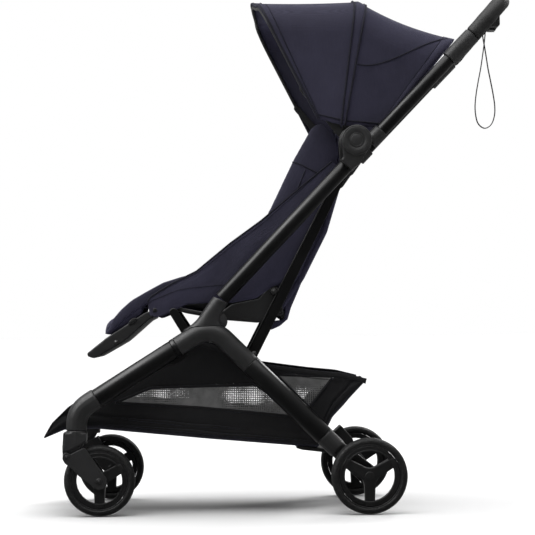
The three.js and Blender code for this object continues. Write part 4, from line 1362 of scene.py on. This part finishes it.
def make_seat_hardware():
    """The leg rest's latches and screws, and the snaps of the side panels."""
    for side, sign in SIDES.items():
        start = LEGREST_FACE - 1 * MM
        oval = [
            ring(Vector((-0.279, sign * y, 0.3625)), Vector((0, 1, 0)), r, 32, 0.5, Vector((0.83, 0, 0.55)))
            for y, r in ((start, 0.010), (LEGREST_FACE + 0.0012, 0.0095), (LEGREST_FACE + 0.0016, 0.008))
        ]
        to_object(f"legrest_latch_{side}", loft("latch", oval), GLOSSY, "legrest")
        place = Vector((-0.311, sign * start, 0.3235))
        screw(f"legrest_screw_{side}", place, sign * 2.4 * MM, 4 * MM, "legrest")
        place = Vector((-0.236, sign * (PANEL_AT * MM - 0.0002), 0.383))
        snap = screw(f"snap_{side}", place, sign * 2.2 * MM, 4.5 * MM, "main_frame", GLOSSY, socket=False)
        squash_side(snap)


UPPER_EDGE = [
    (-250, 399), (-244, 409), (-206, 432), (-157, 456), (-93, 508), (-33, 551), (39, 611), (101, 661),
]
LOWER_EDGE = [
    (-246, 374), (-232, 369), (-207, 379), (-175, 394), (-138, 396), (-88, 396), (-45, 404), (-14, 425),
    (12, 436), (44, 484), (84, 560), (110, 655),
]
PANEL_STEPS = 80
PANEL_AT = 151.7


def off_strut(x, z):
    """0 close to the strut, 1 well clear of it."""
    foot, top = STRUT_FOOT, STRUT_TOP
    spot = Vector((x * MM, 0, z * MM))
    along = (top - foot).normalized()
    away = (spot - foot) - along * (spot - foot).dot(along)
    t = min(max((away.length - 16 * MM) / (45 * MM), 0), 1)
    return t * t * (3 - 2 * t)


def panel_point(edges, step, depth, sign):
    """A point of a side panel: step runs along it, and depth from its upper edge (0) to its lower (1)."""
    upper, lower = edges
    x = upper[step].x * (1 - depth) + lower[step].x * depth
    z = upper[step].z * (1 - depth) + lower[step].z * depth
    clear = off_strut(x, z) * math.sin(math.pi * depth) * math.sin(math.pi * step / (PANEL_STEPS - 1))
    bulge = 4.5 * clear + 0.5 * noise.noise(Vector((x * 0.02, 2.0, z * 0.02)))
    bulge += 1.5 * clear * math.sin(0.09 * (x - z) + 2.5 * noise.noise(Vector((x * 0.01, 5.0, z * 0.01))))
    return Vector((x, sign * (PANEL_AT + bulge), z)) * MM


def squash_side(piece):
    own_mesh(piece)


def panel_line(edges, sign, depths, lift=0.0):
    """A line along a side panel, with its depth at each step."""
    proud = Vector((0, sign * lift, 0))
    return [panel_point(edges, step, depth, sign) + proud for step, depth in enumerate(depths)]


def make_side_panels():
    edges = [evenly([Vector((x, 0, z)) for x, z in edge], PANEL_STEPS) for edge in (UPPER_EDGE, LOWER_EDGE)]
    flap_depths = [0.16 + 0.50 * step / 30 for step in range(31)]
    for side, sign in SIDES.items():
        name = f"side_panel_{side}"
        rows = [panel_line(edges, sign, [row / 16] * PANEL_STEPS) for row in range(17)]
        mesh = sheet(name, rows, 1.3 * MM)
        piece = to_object(f"{name}_cloth", mesh, NAVY, "main_frame", [name])
        squash_side(piece)
        for part, depths, lift, radius, count in (
            ("piping", [0.0] * PANEL_STEPS, 0.0, 1.7 * MM, 12),
            ("stitch", [0.05] * PANEL_STEPS, 0.9 * MM, 0.5 * MM, 6),
            ("flap_seam", flap_depths, 0.8 * MM, 0.7 * MM, 6),
        ):
            path = panel_line(edges, sign, depths, lift)
            squash_side(piped(f"{name}_{part}", path, radius, count, "main_frame"))


def make_harness():
    cast_node("shoulder_harness", 0.0022, 3, WEBBING)
    cast_node("harness_buckle", 0.0012, 4, GLOSSY)


# ---- Stage --------------------------------------------------------------------------------------


def make_world():
    """A bright backdrop, and softer light on the object, dimmest from the front and from below."""
    world = bpy.data.worlds.new("studio")
    world.use_nodes = True
    nodes, links = world.node_tree.nodes, world.node_tree.links
    seen = nodes["Background"]
    seen.inputs["Color"].default_value = (1, 1, 1, 1)
    seen.inputs["Strength"].default_value = 1.0
    place = nodes.new("ShaderNodeTexCoord")
    back_and_up = nodes.new("ShaderNodeVectorMath")
    back_and_up.operation = "DOT_PRODUCT"
    back_and_up.inputs[1].default_value = (0, 1, 0.8)
    links.new(place.outputs["Generated"], back_and_up.inputs[0])
    ramp = nodes.new("ShaderNodeMapRange")
    links.new(back_and_up.outputs["Value"], ramp.inputs["Value"])
    for socket, value in (("From Min", -1.0), ("From Max", 1.2), ("To Min", 0.02), ("To Max", 0.55)):
        ramp.inputs[socket].default_value = value
    cast = nodes.new("ShaderNodeBackground")
    links.new(ramp.outputs["Result"], cast.inputs["Strength"])
    path = nodes.new("ShaderNodeLightPath")
    mix = nodes.new("ShaderNodeMixShader")
    links.new(path.outputs["Is Camera Ray"], mix.inputs["Fac"])
    links.new(cast.outputs["Background"], mix.inputs[1])
    links.new(seen.outputs["Background"], mix.inputs[2])
    links.new(mix.outputs["Shader"], nodes["World Output"].inputs["Surface"])
    bpy.context.scene.world = world


def add_light(data, place, aim):
    light = bpy.data.objects.new(data.name, data)
    light.location = place
    light.rotation_euler = (Vector(place) - Vector(aim)).to_track_quat("Z", "Y").to_euler()
    bpy.context.collection.objects.link(light)
    return light


def make_stage():
    floor = mesh_from("floor", [(-30, -30, 0), (30, -30, 0), (30, 60, 0), (-30, 60, 0)], [(0, 1, 2, 3)])
    look = Look("floor_white", Roughness=0.9, Specular_IOR_Level=0.1)
    look.cloudy("Base Color", 1.2, 0.84, 0.86, detail=2)
    piece = to_object("floor", floor, look.done())
    piece.location.z = -0.0005
    piece.visible_glossy = False
    make_world()
    sun = bpy.data.lights.new("overhead", "SUN")
    sun.energy = 3.2
    sun.angle = math.radians(80)
    add_light(sun, (-0.5, -0.5, 4), (0, 0, 0))
    for name, place, size, power in (
        ("softbox", (-2.2, -0.9, 2.3), 2.2, 80),
        ("back", (1.6, 2.4, 2.2), 1.1, 34),
    ):
        panel = bpy.data.lights.new(name, "AREA")
        panel.energy = power
        panel.size = size
        light = add_light(panel, place, (0, 0, 0.5))
        light.visible_diffuse = name != "softbox"
    bpy.context.scene.view_settings.view_transform = "Standard"


make_camera()
make_strap()
make_tubes()
make_castings()
make_linked_castings()
make_wheels()
make_bolts()
make_grip()
make_hub_details()
make_canopy()
make_basket()
make_pads()
make_back_seams()
make_back()
make_under_seat()
make_seat_hardware()
make_side_panels()
make_harness()
make_stage()
